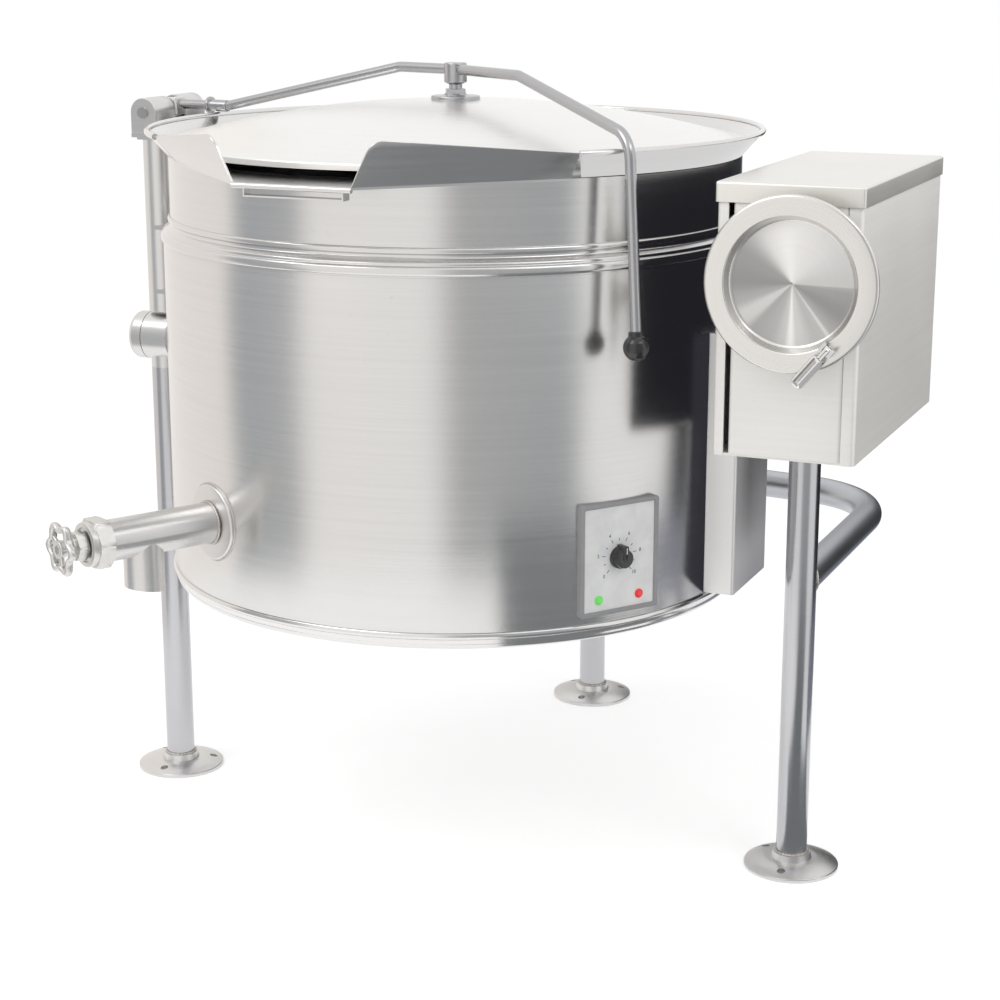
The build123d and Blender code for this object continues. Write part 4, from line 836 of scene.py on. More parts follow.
# ------------------------------------------------------------------ vessel
@dataclass
class Vessel:
    """Outer shell, beaded neck, base ring, rim, pouring lip and the weld seams on them."""

    neck_in: float = 0.387
    neck_out: float = 0.390
    bulge: float = 0.0035
    sheet: float = 0.003
    rim_out: float = 0.418
    rim_rise: float = 0.032
    bar: float = 0.004
    lip_half: float = 0.080
    lip_reach: float = 0.472
    lip_turn: float = math.radians(45.1)
    wing_lean: float = 0.028
    tip_rise: float = 0.056
    tip_lean: float = 0.0185
    tip_round: float = 0.016
    hem: float = 0.0035
    pad: float = 0.060

    def build(self) -> None:
        """Builds every piece of the vessel's skin."""
        low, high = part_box("outer_shell")
        self.shell_low, self.shell_top = low.z, high.z
        self.neck_low, self.neck_top = high.z + 0.036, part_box("neck_band")[1].z
        self.rim_top = self.neck_top + self.rim_rise
        self.shell()
        self.neck()
        self.base()
        self.rim()
        self.lip()
        self.seams()

    def shell(self) -> None:
        """Rolled shell: a thin upright band whose edges are eased."""
        r, inner = SHELL_R, SHELL_R - 0.002
        profile = rounded([(r, self.shell_low), (r, self.shell_top), (inner, self.shell_top),
                           (inner, self.shell_low)], 0.0005, closed=True, steps=3)
        Piece("rolled_shell", Body.VESSEL).add(swing(profile, AXIS, 288), ring=True).finish(
            SHELL, "brushed_body", "outer_shell")

    def neck(self) -> None:
        """Neck band: land, broad bead, sloping step, narrow bead and the upright neck, revolved."""
        r, n, z, b = SHELL_R, self.neck_out, self.shell_top, self.bulge
        low_bead = arc(b, -QUARTER, QUARTER, 13, 0.006 / b) + np.array([r, z + 0.008])
        high_bead = arc(b, -QUARTER, QUARTER, 13, 0.0045 / b) + np.array([n, self.neck_low - 0.0045])
        slope = rounded([(r - 0.0006, z + 0.0148), (r - 0.001, z + 0.018), (n + 0.0006, z + 0.0235),
                         (n + 0.0004, z + 0.0268)], 0.004, steps=6)
        upright = [(n, self.neck_low + 0.002), (n, self.neck_top)]
        inside = [(self.neck_in, self.neck_top), (self.neck_in, self.neck_low - 0.008),
                  (r - self.sheet, z + 0.012), (r - self.sheet, z)]
        profile = np.concatenate([[(r, z)], low_bead, slope, high_bead, upright, inside])
        Piece("beaded_neck", Body.VESSEL).add(swing(profile, AXIS, 288), ring=True).finish(
            NECK, "polished_steel", "neck_band", crease=ROLLED_CREASE)

    def base(self) -> None:
        """Base ring: a round bead over a band whose lower edge turns in under the shell."""
        r, z, b, half = SHELL_R, self.shell_low, 0.0025, 0.004
        bead = arc(b, QUARTER, -QUARTER, 13, half / b) + np.array([r, z - half])
        turned = rounded([(r - 0.0012, z - 0.0092), (r - 0.0012, z - 0.022), (r - 0.019, z - 0.022),
                          (r - 0.019, z - 0.019), (r - 0.012, z - 0.019), (r - 0.006, z - 0.010),
                          (r - self.sheet, z)], [0, 0.007, 0.001, 0.001, 0.003, 0.001, 0])
        profile = np.concatenate([bead, turned])
        Piece("rolled_base", Body.VESSEL).add(swing(profile, AXIS, 288), ring=True).finish(
            BRIGHT, "polished_steel", "base_ring", crease=ROLLED_CREASE)

    def rim(self) -> None:
        """Flared rim with a bar along its edge, open at the front between the lip's tails."""
        out, top = self.rim_out, self.rim_top
        flare = rounded([(self.neck_in, self.neck_top), (self.neck_out, self.neck_top - 0.0004),
                         (out, top), (out - self.sheet, top + 0.0004)], 0.0004, closed=True, steps=3)
        edge = circle(self.bar, 20) + np.array([out - self.sheet / 2, top])
        piece = Piece("flared_rim", Body.VESSEL)
        for profile in (flare, edge):
            grid = swing(profile, AXIS, 240, self.lip_turn - QUARTER, TAU - 2 * self.lip_turn)
            piece.add(capped(grid.transpose(1, 0, 2)))
        piece.finish(BRIGHT, "polished_steel", "pouring_rim", crease=ROLLED_CREASE)

    def wing(self) -> Array:
        """Right folded wing of the lip, from its tip at the front to its tail on the neck.

        A wing point is corner + along*s + up*h(s)*v + outwards*lean(s)*v, and s starts where the
        leaning edge meets the upright front plane. Near the tip v is cut down to a quarter round.

        Returns:
            Closed grid, length by section.
        """
        tail = self.neck_out * np.array([math.sin(self.lip_turn), -math.cos(self.lip_turn)])
        corner = np.array([self.lip_half, -self.lip_reach])
        length = float(np.linalg.norm(tail - corner))
        along = (tail - corner) / length
        side, over = np.linspace(0.0, 1.0, 9), np.linspace(0.0, math.pi, 9)[1:-1]
        v = np.concatenate([side, 1.0 + 0.027 * np.sin(over), side[::-1]])
        depth = self.sheet * np.concatenate([0.0 * side, (1 - np.cos(over)) / 2, 1.0 + 0.0 * side])
        quarter = np.linspace(0.0, QUARTER, 9)
        near = self.tip_round * (1 - np.cos(quarter)) / length
        u = np.concatenate([near, np.linspace(near[-1], 1.0, 36)[1:]])[:, None]
        cut = np.concatenate([self.tip_round * (1 - np.sin(quarter)) / self.tip_rise, np.zeros(35)])
        v = v[None, :] * (1 - cut[:, None])
        start = self.tip_lean * v / length
        share = start + (1.0 - start) * u
        lean = self.tip_lean + (self.wing_lean - self.tip_lean) * share
        reach = lean * v - depth[None, :]
        x = corner[0] + along[0] * length * share + along[1] * reach
        y = np.maximum(corner[1] + along[1] * length * share - along[0] * reach, -self.lip_reach)
        rise = self.tip_rise + (self.rim_rise - self.tip_rise) * share
        return capped(np.stack([x, y, self.neck_top + rise * v], axis=-1))

    def lip(self) -> None:
        """Two folded wings, the lip floor between them and the rolled bar along its front edge."""
        piece = Piece("pouring_lip_sheet", Body.VESSEL)
        wing = self.wing()
        piece.add(wing).add((wing * np.array([-1.0, 1.0, 1.0]))[:, ::-1])
        back = arc(self.neck_out, -QUARTER - self.lip_turn, -QUARTER + self.lip_turn, 33)
        front = np.linspace((-self.lip_half, -self.lip_reach), (self.lip_half, -self.lip_reach), 33)
        top, under = np.full(33, self.neck_top), np.full(33, self.neck_top - self.sheet)
        floor = [np.column_stack(edge) for edge in ((back, top), (front, top), (front, under),
                                                   (back, under))]
        piece.add(capped(np.stack(floor, axis=1)))
        path = np.column_stack([front[::4], np.full(9, self.neck_top - self.hem)])
        piece.add(round_bar(path, self.hem, (0.0, 1.0, 0.0), 20))
        piece.finish(WING, "polished_steel", "pouring_lip")

    def seams(self) -> None:
        """Weld seams of the two trunnion pads and the draw-off flange."""
        piece = Piece("vessel_welds", Body.VESSEL)
        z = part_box("left_trunnion")[0].z + self.pad
        for sign in (-1.0, 1.0):
            seat = Seat((0.0, 0.0, z), (0.0, 1.0, 0.0), (0.0, 0.0, 1.0), (sign, 0.0, 0.0))
            piece.weld(seat.place(saddle(self.pad + 0.0012, SHELL_R)), 0.0022)
        seat = radial(DrawOff.angle, 0.0, DrawOff.height)
        piece.weld(seat.place(saddle(DrawOff.flange_r + 0.0006, SHELL_R)), 0.0015)
        piece.finish(WELD, "satin_steel")


# ------------------------------------------------------------------ cover
@dataclass
class Cover:
    """Domed cover with its hub, lifting arm, ball knob and hinge."""

    radius: float = 0.396
    sheet: float = 0.002
    arm: float = 0.007
    bend: float = 0.038
    arm_back: float = 1.010
    arm_front: float = 1.016
    knob_height: float = 0.764
    knob: float = 0.017
    knob_angle: float = -37.0
    barrel: float = 0.0180
    barrel_length: float = 0.1314
    drop: float = 0.030

    def build(self) -> None:
        """Builds the dome, the hub, the arm, the knob and the hinge pieces."""
        low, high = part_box("lid_dome")
        self.foot, self.top, self.edge = low.z, high.z, low.z + 0.009
        self.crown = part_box("lid_arm")[1].z - self.arm
        self.dome()
        self.hub()
        self.lever()
        self.knuckle()
        self.housing()

    def dome(self) -> None:
        """Spun dome: a sphere's cap inside a flat ring, with a rounded edge turned down.

        The height at radius r is top - (R - sqrt(R^2 - r^2)), with R = (ring^2 + rise^2)/(2*rise).
        """
        r, t, ring = self.radius, self.sheet, self.radius - 0.017
        step = self.edge + 0.0012
        rise = self.top - step
        ball = (ring ** 2 + rise ** 2) / (2 * rise)
        reach = np.linspace(0.0, ring, 60)
        outer = np.column_stack([reach, self.top - (ball - np.sqrt(ball ** 2 - reach ** 2))])
        edge = rounded([(ring, step), (ring + 0.002, self.edge), (r, self.edge), (r, self.foot),
                        (r - t, self.foot), (r - t, self.edge - t), (ring, self.edge - t)],
                       [0, 0.001, 0.003, 0.0008, 0.0008, 0.001, 0])
        inner = outer[::-1] - np.array([0.0, t])
        profile = np.concatenate([outer, edge[1:], inner[1:]])
        Piece("spun_dome", Body.COVER).add(swing(profile, AXIS, 256)).finish(
            LID, "polished_steel", "lid_dome")

    def hub(self) -> None:
        """Hub: flat disc, flared stem, nut and the sleeve that the arm runs through."""
        base, crown = self.top - 0.0008, self.crown
        seat = base + 0.0062
        stem = rounded([(0.0, base), (0.0335, base), (0.0335, base + 0.0058), (0.017, seat),
                        (0.009, base + 0.014), (0.009, crown - 0.020), (0.0155, crown - 0.017),
                        (0.0155, crown + 0.009), (0.0, crown + 0.009)],
                       [0, 0.001, 0.0018, 0.006, 0.003, 0.0008, 0.0015, 0.0022, 0])
        nut = shares_stacked(hexagon(0.0150), [0.3, 0.93, 1.0, 1.0, 0.93, 0.3],
                             [0.0, 0.0, 0.001, 0.008, 0.009, 0.009], Seat((0.0, 0.0, seat)))
        Piece("arm_hub", Body.COVER).add(swing(stem, AXIS, 96)).add(nut).finish(
            BAR, "satin_steel", "lid_hub")

    def lever(self) -> None:
        """Lifting arm bent from round bar, its collar near the hinge and the ball knob."""
        barrel_low, _, hinge = box("hinge_barrel")
        start = (barrel_low.x + 0.033, hinge.y, self.arm_back)
        points = [start, (-0.395, hinge.y * 0.84, self.arm_back), (-0.097, hinge.y * 0.36, self.crown),
                  (0.0, 0.0, self.crown), radial(self.knob_angle, 0.169, self.crown).origin,
                  radial(self.knob_angle, 0.432, self.arm_front).origin,
                  radial(self.knob_angle, 0.455, self.knob_height).origin]
        side = (0.6, 0.8, 0.0)
        Piece("lifting_arm", Body.COVER).add(
            round_bar(rounded(points, self.bend, steps=14), self.arm, side)).finish(
            BAR, "satin_steel", "lid_arm")
        run = unit(np.array(points[1]) - np.array(start))
        above = (0.0, 0.0, 1.0)
        seat = Seat(tuple(np.array(start) + run * 0.061), above, tuple(np.cross(run, above)), tuple(run))
        sleeve = rounded([(0.0071, 0.0), (0.0125, 0.0), (0.0125, 0.004), (0.0085, 0.004),
                          (0.0085, 0.034), (0.0071, 0.034)], [0, 0.0008, 0.0008, 0.0006, 0.0008, 0])
        Piece("arm_sleeve", Body.COVER).add(swing(sleeve, seat, 48), ring=True).finish(
            BAR, "satin_steel", "arm_collar")
        lean = unit(np.array(points[-1]) - np.array(points[-2]))
        across = np.cross(lean, side)
        seat = Seat(points[-1], tuple(across), tuple(np.cross(lean, across)), tuple(-lean))
        ball = arc(self.knob, -QUARTER, math.radians(54), 24)
        neck = rounded([(0.0100, 0.0138), (0.0098, 0.0195), (0.0072, 0.0200), (0.0072, 0.012)],
                       [0.001, 0.001, 0.0005, 0], steps=4)
        profile = np.concatenate([ball, neck, [(0.0, 0.012)]])
        Piece("ball_grip", Body.COVER).add(swing(profile, seat, 48)).finish(
            BLACK, "black_plastic", "ball_knob")

    def knuckle(self) -> None:
        """Hinge barrel with the boss that carries the arm, and the boss's screw."""
        low, high, middle = box("hinge_housing")
        x, z = middle.x, low.z + self.drop
        r, length = self.barrel, self.barrel_length
        barrel = rounded([(0.0052, 0.0), (r, 0.0), (r, length), (0.0052, length)], [0, 0.001, 0.001, 0])
        _, boss, _ = box("hinge_barrel")
        inner, foot = x + 0.010, z - 0.0065
        block = eased_block((boss.x - inner, 0.026, boss.z - foot), 0.003, 0.0015,
                            Seat(((boss.x + inner) / 2, middle.y, foot)))
        Piece("hinge_knuckle", Body.COVER).add(
            swing(barrel, facing_front(x, high.y - 0.0043, z), 96), ring=True).add(block).finish(
            FLAT, "satin_steel", "hinge_barrel")
        screw = rounded([(0.0, 0.0), (0.0052, 0.0), (0.0052, 0.0042), (0.0, 0.0048)], [0, 0, 0.0009, 0])
        seat = facing_front(x + 0.0145, middle.y - 0.0129, z + 0.004)
        Piece("boss_screw", Body.COVER).add(swing(screw, seat, 32)).finish(MACHINE, "satin_steel")

    def housing(self) -> None:
        """Hinge housing: D-shaped ends and a sheet wrapped over the barrel, slotted for the boss."""
        low, high, middle = box("hinge_housing")
        half, depth = (high.x - low.x) / 2, high.y - low.y
        h, slot = 0.00125, 0.015
        r, foot = half - h, h - self.drop
        seat = facing_front(middle.x, high.y, low.z + self.drop)
        piece = Piece("hinge_box", Body.VESSEL)
        floor = rounded([(-r, 0.0), (-r, foot), (r, foot), (r, -0.021)], 0.003)
        piece.add(folded_sheet(floor, 2 * h, depth / 2 - slot, depth / 2 + slot, seat))
        wrap = np.concatenate([rounded([(0.0005, foot), (r, foot), (r, -0.004)], 0.003),
                               arc(r, 0.0, math.pi, 33),
                               rounded([(-r, -0.004), (-r, foot), (-0.0005, foot)], 0.003)])
        for start, end in ((0.0035, depth / 2 - slot), (depth / 2 + slot, depth - 0.0035)):
            piece.add(folded_sheet(wrap, 2 * h, start, end, seat))
        outline = np.concatenate([[(-half, -self.drop), (half, -self.drop)],
                                  arc(half, 0.0, math.pi, 25)])
        for back in (depth - 0.004, 0.0):
            piece.add(shares_stacked(outline, [0.02, 0.965, 1.0, 1.0, 0.965, 0.02],
                                     [0.0, 0.0, 0.0007, 0.0033, 0.004, 0.004], seat.moved(0, 0, back)))
        piece.finish(FLAT, "satin_steel", "hinge_housing")


# ------------------------------------------------------------------ console
@dataclass
class Console:
    """Drive console: front panel, side panel, chassis with its front column, and their cover."""

    sheet: float = 0.003
    cover_sheet: float = 0.0024
    cover_round: float = 0.0032
    fold: float = 0.0045
    column: float = 0.014
    panel_return: float = 0.015

    def build(self) -> None:
        """Builds the folded panels, the shaft's ferrule and the cover."""
        self.panel()
        self.ferrule()
        self.side()
        self.cover()
        self.chassis()

    def fold_up(self, name: str, part: str, chain: Array) -> Piece:
        """Piece with the console's sheet folded along a plan chain, as tall as a frame node."""
        low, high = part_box(part)
        return Piece(name, Body.FRAME).add(folded_sheet(chain, self.sheet, low.z, high.z, AXIS))

    def panel(self) -> None:
        """Front panel folded back at both upright edges."""
        low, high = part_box("console_front_panel")
        h, back = self.sheet / 2, low.y + self.panel_return
        chain = rounded([(low.x + h, back), (low.x + h, low.y + h), (high.x - h, low.y + h),
                         (high.x - h, back)], 0.003)
        self.fold_up("folded_front", "console_front_panel", chain).finish(
            CONSOLE, "console_steel", "console_front_panel")

    def ferrule(self) -> None:
        """Ferrule where the wheel's shaft comes through the front panel."""
        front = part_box("console_front_panel")[0].y - 0.0002
        collar = rounded([(0.0113, -0.004), (0.0113, 0.006), (0.0180, 0.006), (0.0200, 0.0),
                          (0.0200, -0.004)], 0.0012)
        seat = facing_front(WHEEL_MIDDLE.x, front, WHEEL_MIDDLE.z)
        Piece("shaft_ferrule", Body.FRAME).add(swing(collar, seat, 64), ring=True).finish(
            BRIGHT, "satin_steel")

    def side(self) -> None:
        """Side panel with its front return, bent from one sheet."""
        low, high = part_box("console_side_panel")
        h = self.sheet / 2
        chain = rounded([(low.x, low.y + h), (high.x - h, low.y + h), (high.x - h, high.y)], self.fold)
        self.fold_up("folded_side", "console_side_panel", chain).finish(
            CONSOLE, "console_steel", "console_side_panel")

    def cover(self) -> None:
        """Cover like an upturned tray: flat top, rounded edges and a skirt all round."""
        low, high, middle = box("console_top_cover")
        w, d = high.x - low.x, high.y - low.y
        t, r, edge = self.cover_sheet, self.cover_round, 0.0004
        quarter = np.linspace(0.0, QUARTER, 6)
        drawn, sunk = 1 - np.sin(quarter), 1 - np.cos(quarter)
        shut = min(w, d) / 2 - 1e-5
        insets = [shut, 0.02, *(r * drawn), 0.0, edge, t - edge, t, *(t + (r - t) * drawn[::-1]),
                  0.02, shut]
        heights = [high.z, high.z, *(high.z - r * sunk), low.z + edge, low.z, low.z, low.z + edge,
                   *(high.z - t - (r - t) * sunk[::-1]), high.z - t, high.z - t]
        tray = tapered((w, d), 0.0034, 1e-5, insets, heights, Seat((middle.x, middle.y, 0.0)))
        Piece("console_lid", Body.FRAME).add(tray).finish(
            CONSOLE_TOP, "console_steel", "console_top_cover")

    def chassis(self) -> None:
        """Chassis: front column, inner wall and rear wall as one folded sheet, and the floor tray."""
        low, high, middle = box("console_chassis")
        h = self.sheet / 2
        chain = rounded([(low.x + self.column, low.y + h), (low.x + h, low.y + h),
                         (low.x + h, high.y - h), (high.x, high.y - h)], 0.003)
        size = (high.x - low.x - self.sheet, high.y - low.y - self.sheet, self.sheet)
        tray = eased_block(size, 0.002, 0.0004, Seat((middle.x, middle.y, low.z)))
        self.fold_up("folded_chassis", "console_chassis", chain).add(tray).finish(
            CONSOLE, "console_steel", "console_chassis")


# ------------------------------------------------------------------ hand wheel
@dataclass
class HandWheel:
    """Spun dish wheel with a rolled edge, its hub and the folding grip."""

    roll: float = 0.004
    sheet: float = 0.0025
    dish_out: float = 0.083
    depth: float = 0.012
    grip_turn: float = math.radians(-129.5)

    def build(self) -> None:
        """Builds the wheel and the grip."""
        self.seat = facing_front(WHEEL_MIDDLE.x, WHEEL_LOW.y, WHEEL_MIDDLE.z)
        self.wheel()
        self.grip()

    def wheel(self) -> None:
        """Wheel: flat dish floor as a piece of its own; curved wall, flat ring, rolled edge and hub."""
        r, c, t, d = (WHEEL_HIGH.x - WHEEL_LOW.x) / 2, self.roll, self.sheet, self.dish_out
        floor, back, hub = -self.depth, -self.depth - t, -self.depth - t - 0.018
        face = rounded([(0.0, floor), (d - 0.007, floor), (d - 0.0008, 0.0), (r - c, 0.0)],
                       [0, 0.007, 0.0022, 0], steps=9)
        wall = face[int(np.searchsorted(face[:, 0], d - 0.009)):]
        edge = arc(c, QUARTER, -math.radians(150), 18)[1:] + np.array([r - c, -c])
        behind = rounded([(r - 2 * c + t, -t - 0.002), (r - 2 * c + t, -t), (d + 0.0015, -t),
                          (d - 0.0045, back), (0.020, back), (0.019, hub), (0.0112, hub),
                          (0.0112, back - 0.002), (0.0, back - 0.002)],
                         [0, 0.001, 0.003, 0.007, 0.002, 0.001, 0.001, 0, 0], steps=6)
        under = [(0.0, floor - 0.0004), (wall[0][0], floor - 0.0004)]
        ring = np.concatenate([under, wall, edge, behind])
        Piece("wheel_ring", Body.WHEEL).add(swing(ring, self.seat, 192)).finish(
            WHEEL_RING, "polished_steel", "hand_wheel")
        reach = np.linspace(0.0, wall[0][0], 24)
        disc = np.concatenate([np.column_stack([reach, np.full(24, floor)]),
                               [(wall[0][0], floor - 0.0003), (0.0, floor - 0.0003)]])
        Piece("wheel_dish", Body.WHEEL).add(swing(disc, self.seat, 192)).finish(
            DISH, "polished_steel", turned=self.seat)

    def grip(self) -> None:
        """Folding grip: a rounded bar with a long hollow in its face, and the tang it hinges on."""
        pivot = box("crank_bracket")[2]
        c, s = math.cos(self.grip_turn), math.sin(self.grip_turn)
        seat = Seat((pivot.x, WHEEL_LOW.y - 0.0003, pivot.z), (c, 0.0, s), (s, 0.0, -c), (0.0, -1.0, 0.0))
        bar = tapered((0.048, 0.0164), 0.0055, 0.0003,
                      [0.0084, 0.0, 0.0, 0.0010, 0.0030, 0.0046, 0.0055, 0.0080],
                      [0.0, 0.0, 0.0088, 0.0112, 0.0118, 0.0109, 0.0086, 0.0080], seat.moved(0.0365, 0))
        tang = tapered((0.019, 0.0078), 0.0012, 0.0012, [0.0036, 0.0008, 0.0, 0.0, 0.0008, 0.0036],
                       [0.0, 0.0, 0.0008, 0.0106, 0.0114, 0.0114], seat.moved(0.0075, 0))
        Piece("folding_grip", Body.GRIP).add(bar).add(tang).finish(BRIGHT, "satin_steel", "crank_grip")


# ------------------------------------------------------------------ draw-off valve
@dataclass
class DrawOff:
    """Draw-off valve: shell flange, nuts and the stem's star wheel."""

    angle: float = -119.2
    height: float = 0.505
    radius: float = 0.027
    flange_r: float = 0.0505
    flange_t: float = 0.005
    bonnet_reach: float = 0.557
    bonnet_flats: float = 0.060
    bonnet_depth: float = 0.021
    collar: float = 0.029
    packing_reach: float = 0.587
    packing_flats: float = 0.034
    packing_depth: float = 0.014
    bore: float = 0.0062
    star_reach: float = 0.612
    star: float = 0.0355
    star_depth: float = 0.012

    def build(self) -> None:
        """Builds the pieces of the valve from the shell outwards."""
        self.flange()
        self.nuts()
        self.wheel()

    def flange(self) -> None:
        """Flange that hugs the shell: reach = sqrt(shell^2 - across^2) plus its eased thickness."""
        t = self.flange_t
        rim = rounded([(0.0272, -0.001), (0.0272, t), (self.flange_r, t), (self.flange_r, -0.001)],
                      [0, 0.0006, 0.003, 0])
        local = swing(rim, AXIS, 96)
        local[..., 2] = np.minimum(np.sqrt(SHELL_R ** 2 - local[..., 0] ** 2) + local[..., 2], SHELL_R + t)
        Piece("valve_flange", Body.VESSEL).add(
            radial(self.angle, 0.0, self.height).place(local), ring=True).finish(
            TUBE, "satin_steel", "drawoff_flange")
        neck = ring_path(radial(self.angle, 0.4062, self.height), self.radius + 0.0008)
        Piece("valve_weld", Body.VESSEL).weld(neck, 0.0016).finish(WELD, "satin_steel")

    def nuts(self) -> None:
        """Bonnet nut with its collar, and packing nut with its gland."""
        c, top, depth, bore = self.collar, 0.030, self.bonnet_depth, self.bore
        self.nut("bonnet_nut", self.bonnet_reach, self.bonnet_flats, depth, [
            (c, depth), (c, top - 0.0022), (c - 0.0006, top - 0.0008), (c - 0.0022, top),
            (c - 0.0060, top), (c - 0.0066, top - 0.0006), (c - 0.0066, top - 0.0030),
            (bore, top - 0.0030), (bore, top - 0.0040)])
        depth, ring = self.packing_depth, self.packing_flats * 0.36
        self.nut("packing_nut", self.packing_reach, self.packing_flats, depth, [
            (ring, depth), (ring, depth + 0.0034), (ring - 0.0006, depth + 0.004), (bore, depth + 0.004),
            (bore, depth - 0.002)])

    def nut(self, part: str, reach: float, flats: float, depth: float,
            crown: list[tuple[float, float]]) -> None:
        """Nut whose six flats are chamfered where a cone cuts their corners.

        The hexagon's radius at an angle is half its flats over the cosine of the angle from the
        middle of a flat; at both ends it is no more than the cone's radius.

        Args:
            part: frame node that the nut replaces.
            reach: distance of its inner face from the vessel's axis.
            flats: width across the flats.
            depth: length of the hexagon.
            crown: rows of radius and height of what stands on its outer face.
        """
        turn = np.arange(96) * TAU / 96
        half, chamfer = flats / 2, depth * 0.09
        flat = half / np.cos(turn % (math.pi / 3) - math.pi / 6)
        cone = np.minimum(flat, half + 0.4 * (half / math.cos(math.pi / 6) - half) + 1e-5)
        around = circle(1.0, 96)
        sides = [around * radius[:, None] for radius in (0.55 * half + 0.0 * turn, cone, flat, flat, cone)]
        outlines = sides + [around * radius for radius, _ in crown]
        heights = [0.0, 0.0, chamfer, depth - chamfer, depth] + [height for _, height in crown]
        grid = stacked(outlines, heights, radial(self.angle, reach, self.height))
        Piece(f"{part}_hex", Body.VESSEL).add(capped(grid)).finish(CAST, "cast_steel", part)

    def wheel(self) -> None:
        """Cast star wheel: a round bar bent into six lobes, three spokes, a boss and the stem's nut.

        The bar's centre line has radius a + b*cos(6*angle), so that it swells into six lobes.
        """
        depth, seat = self.star_depth, radial(self.angle, self.star_reach, self.height)
        turn = (np.arange(192) * TAU / 192)[:, None]
        ring = circle(1.0, 16)
        r = self.star * (0.775 + 0.10 * np.cos(6 * turn) + (0.125 + 0.02 * np.cos(6 * turn)) * ring[:, 0])
        h = depth / 2 + 0.46 * depth * ring[:, 1] + 0.0 * r
        rim = seat.place(np.stack([r * np.cos(turn), r * np.sin(turn), h], axis=-1))
        piece = Piece("cast_star_wheel", Body.STEM).add(rim, ring=True)
        reach = np.linspace(0.007, 0.028, 12)
        for angle in np.radians([30.0, 150.0, 270.0]):
            line = np.column_stack([reach * math.cos(angle), reach * math.sin(angle),
                                    np.full(12, depth / 2)])
            section = circle(1.0, 14) * np.array([0.0034, 0.0042])
            piece.add(capped(carry(seat.place(line), section, seat.out)))
        boss = rounded([(0.0, 0.0), (0.011, 0.0), (0.0122, depth), (0.0, depth)], [0, 0.0015, 0.002, 0])
        piece.add(swing(boss, seat, 48)).finish(CAST, "cast_steel", "valve_star_wheel")
        face = depth - 0.0001
        nut = shares_stacked(hexagon(0.0062), [0.3, 1.0, 1.0, 0.9, 0.3],
                             [depth - 0.004, depth - 0.004, depth - 0.0007, face, face], seat)
        Piece("star_wheel_nut", Body.STEM).add(nut).finish(BRIGHT, "cast_steel")


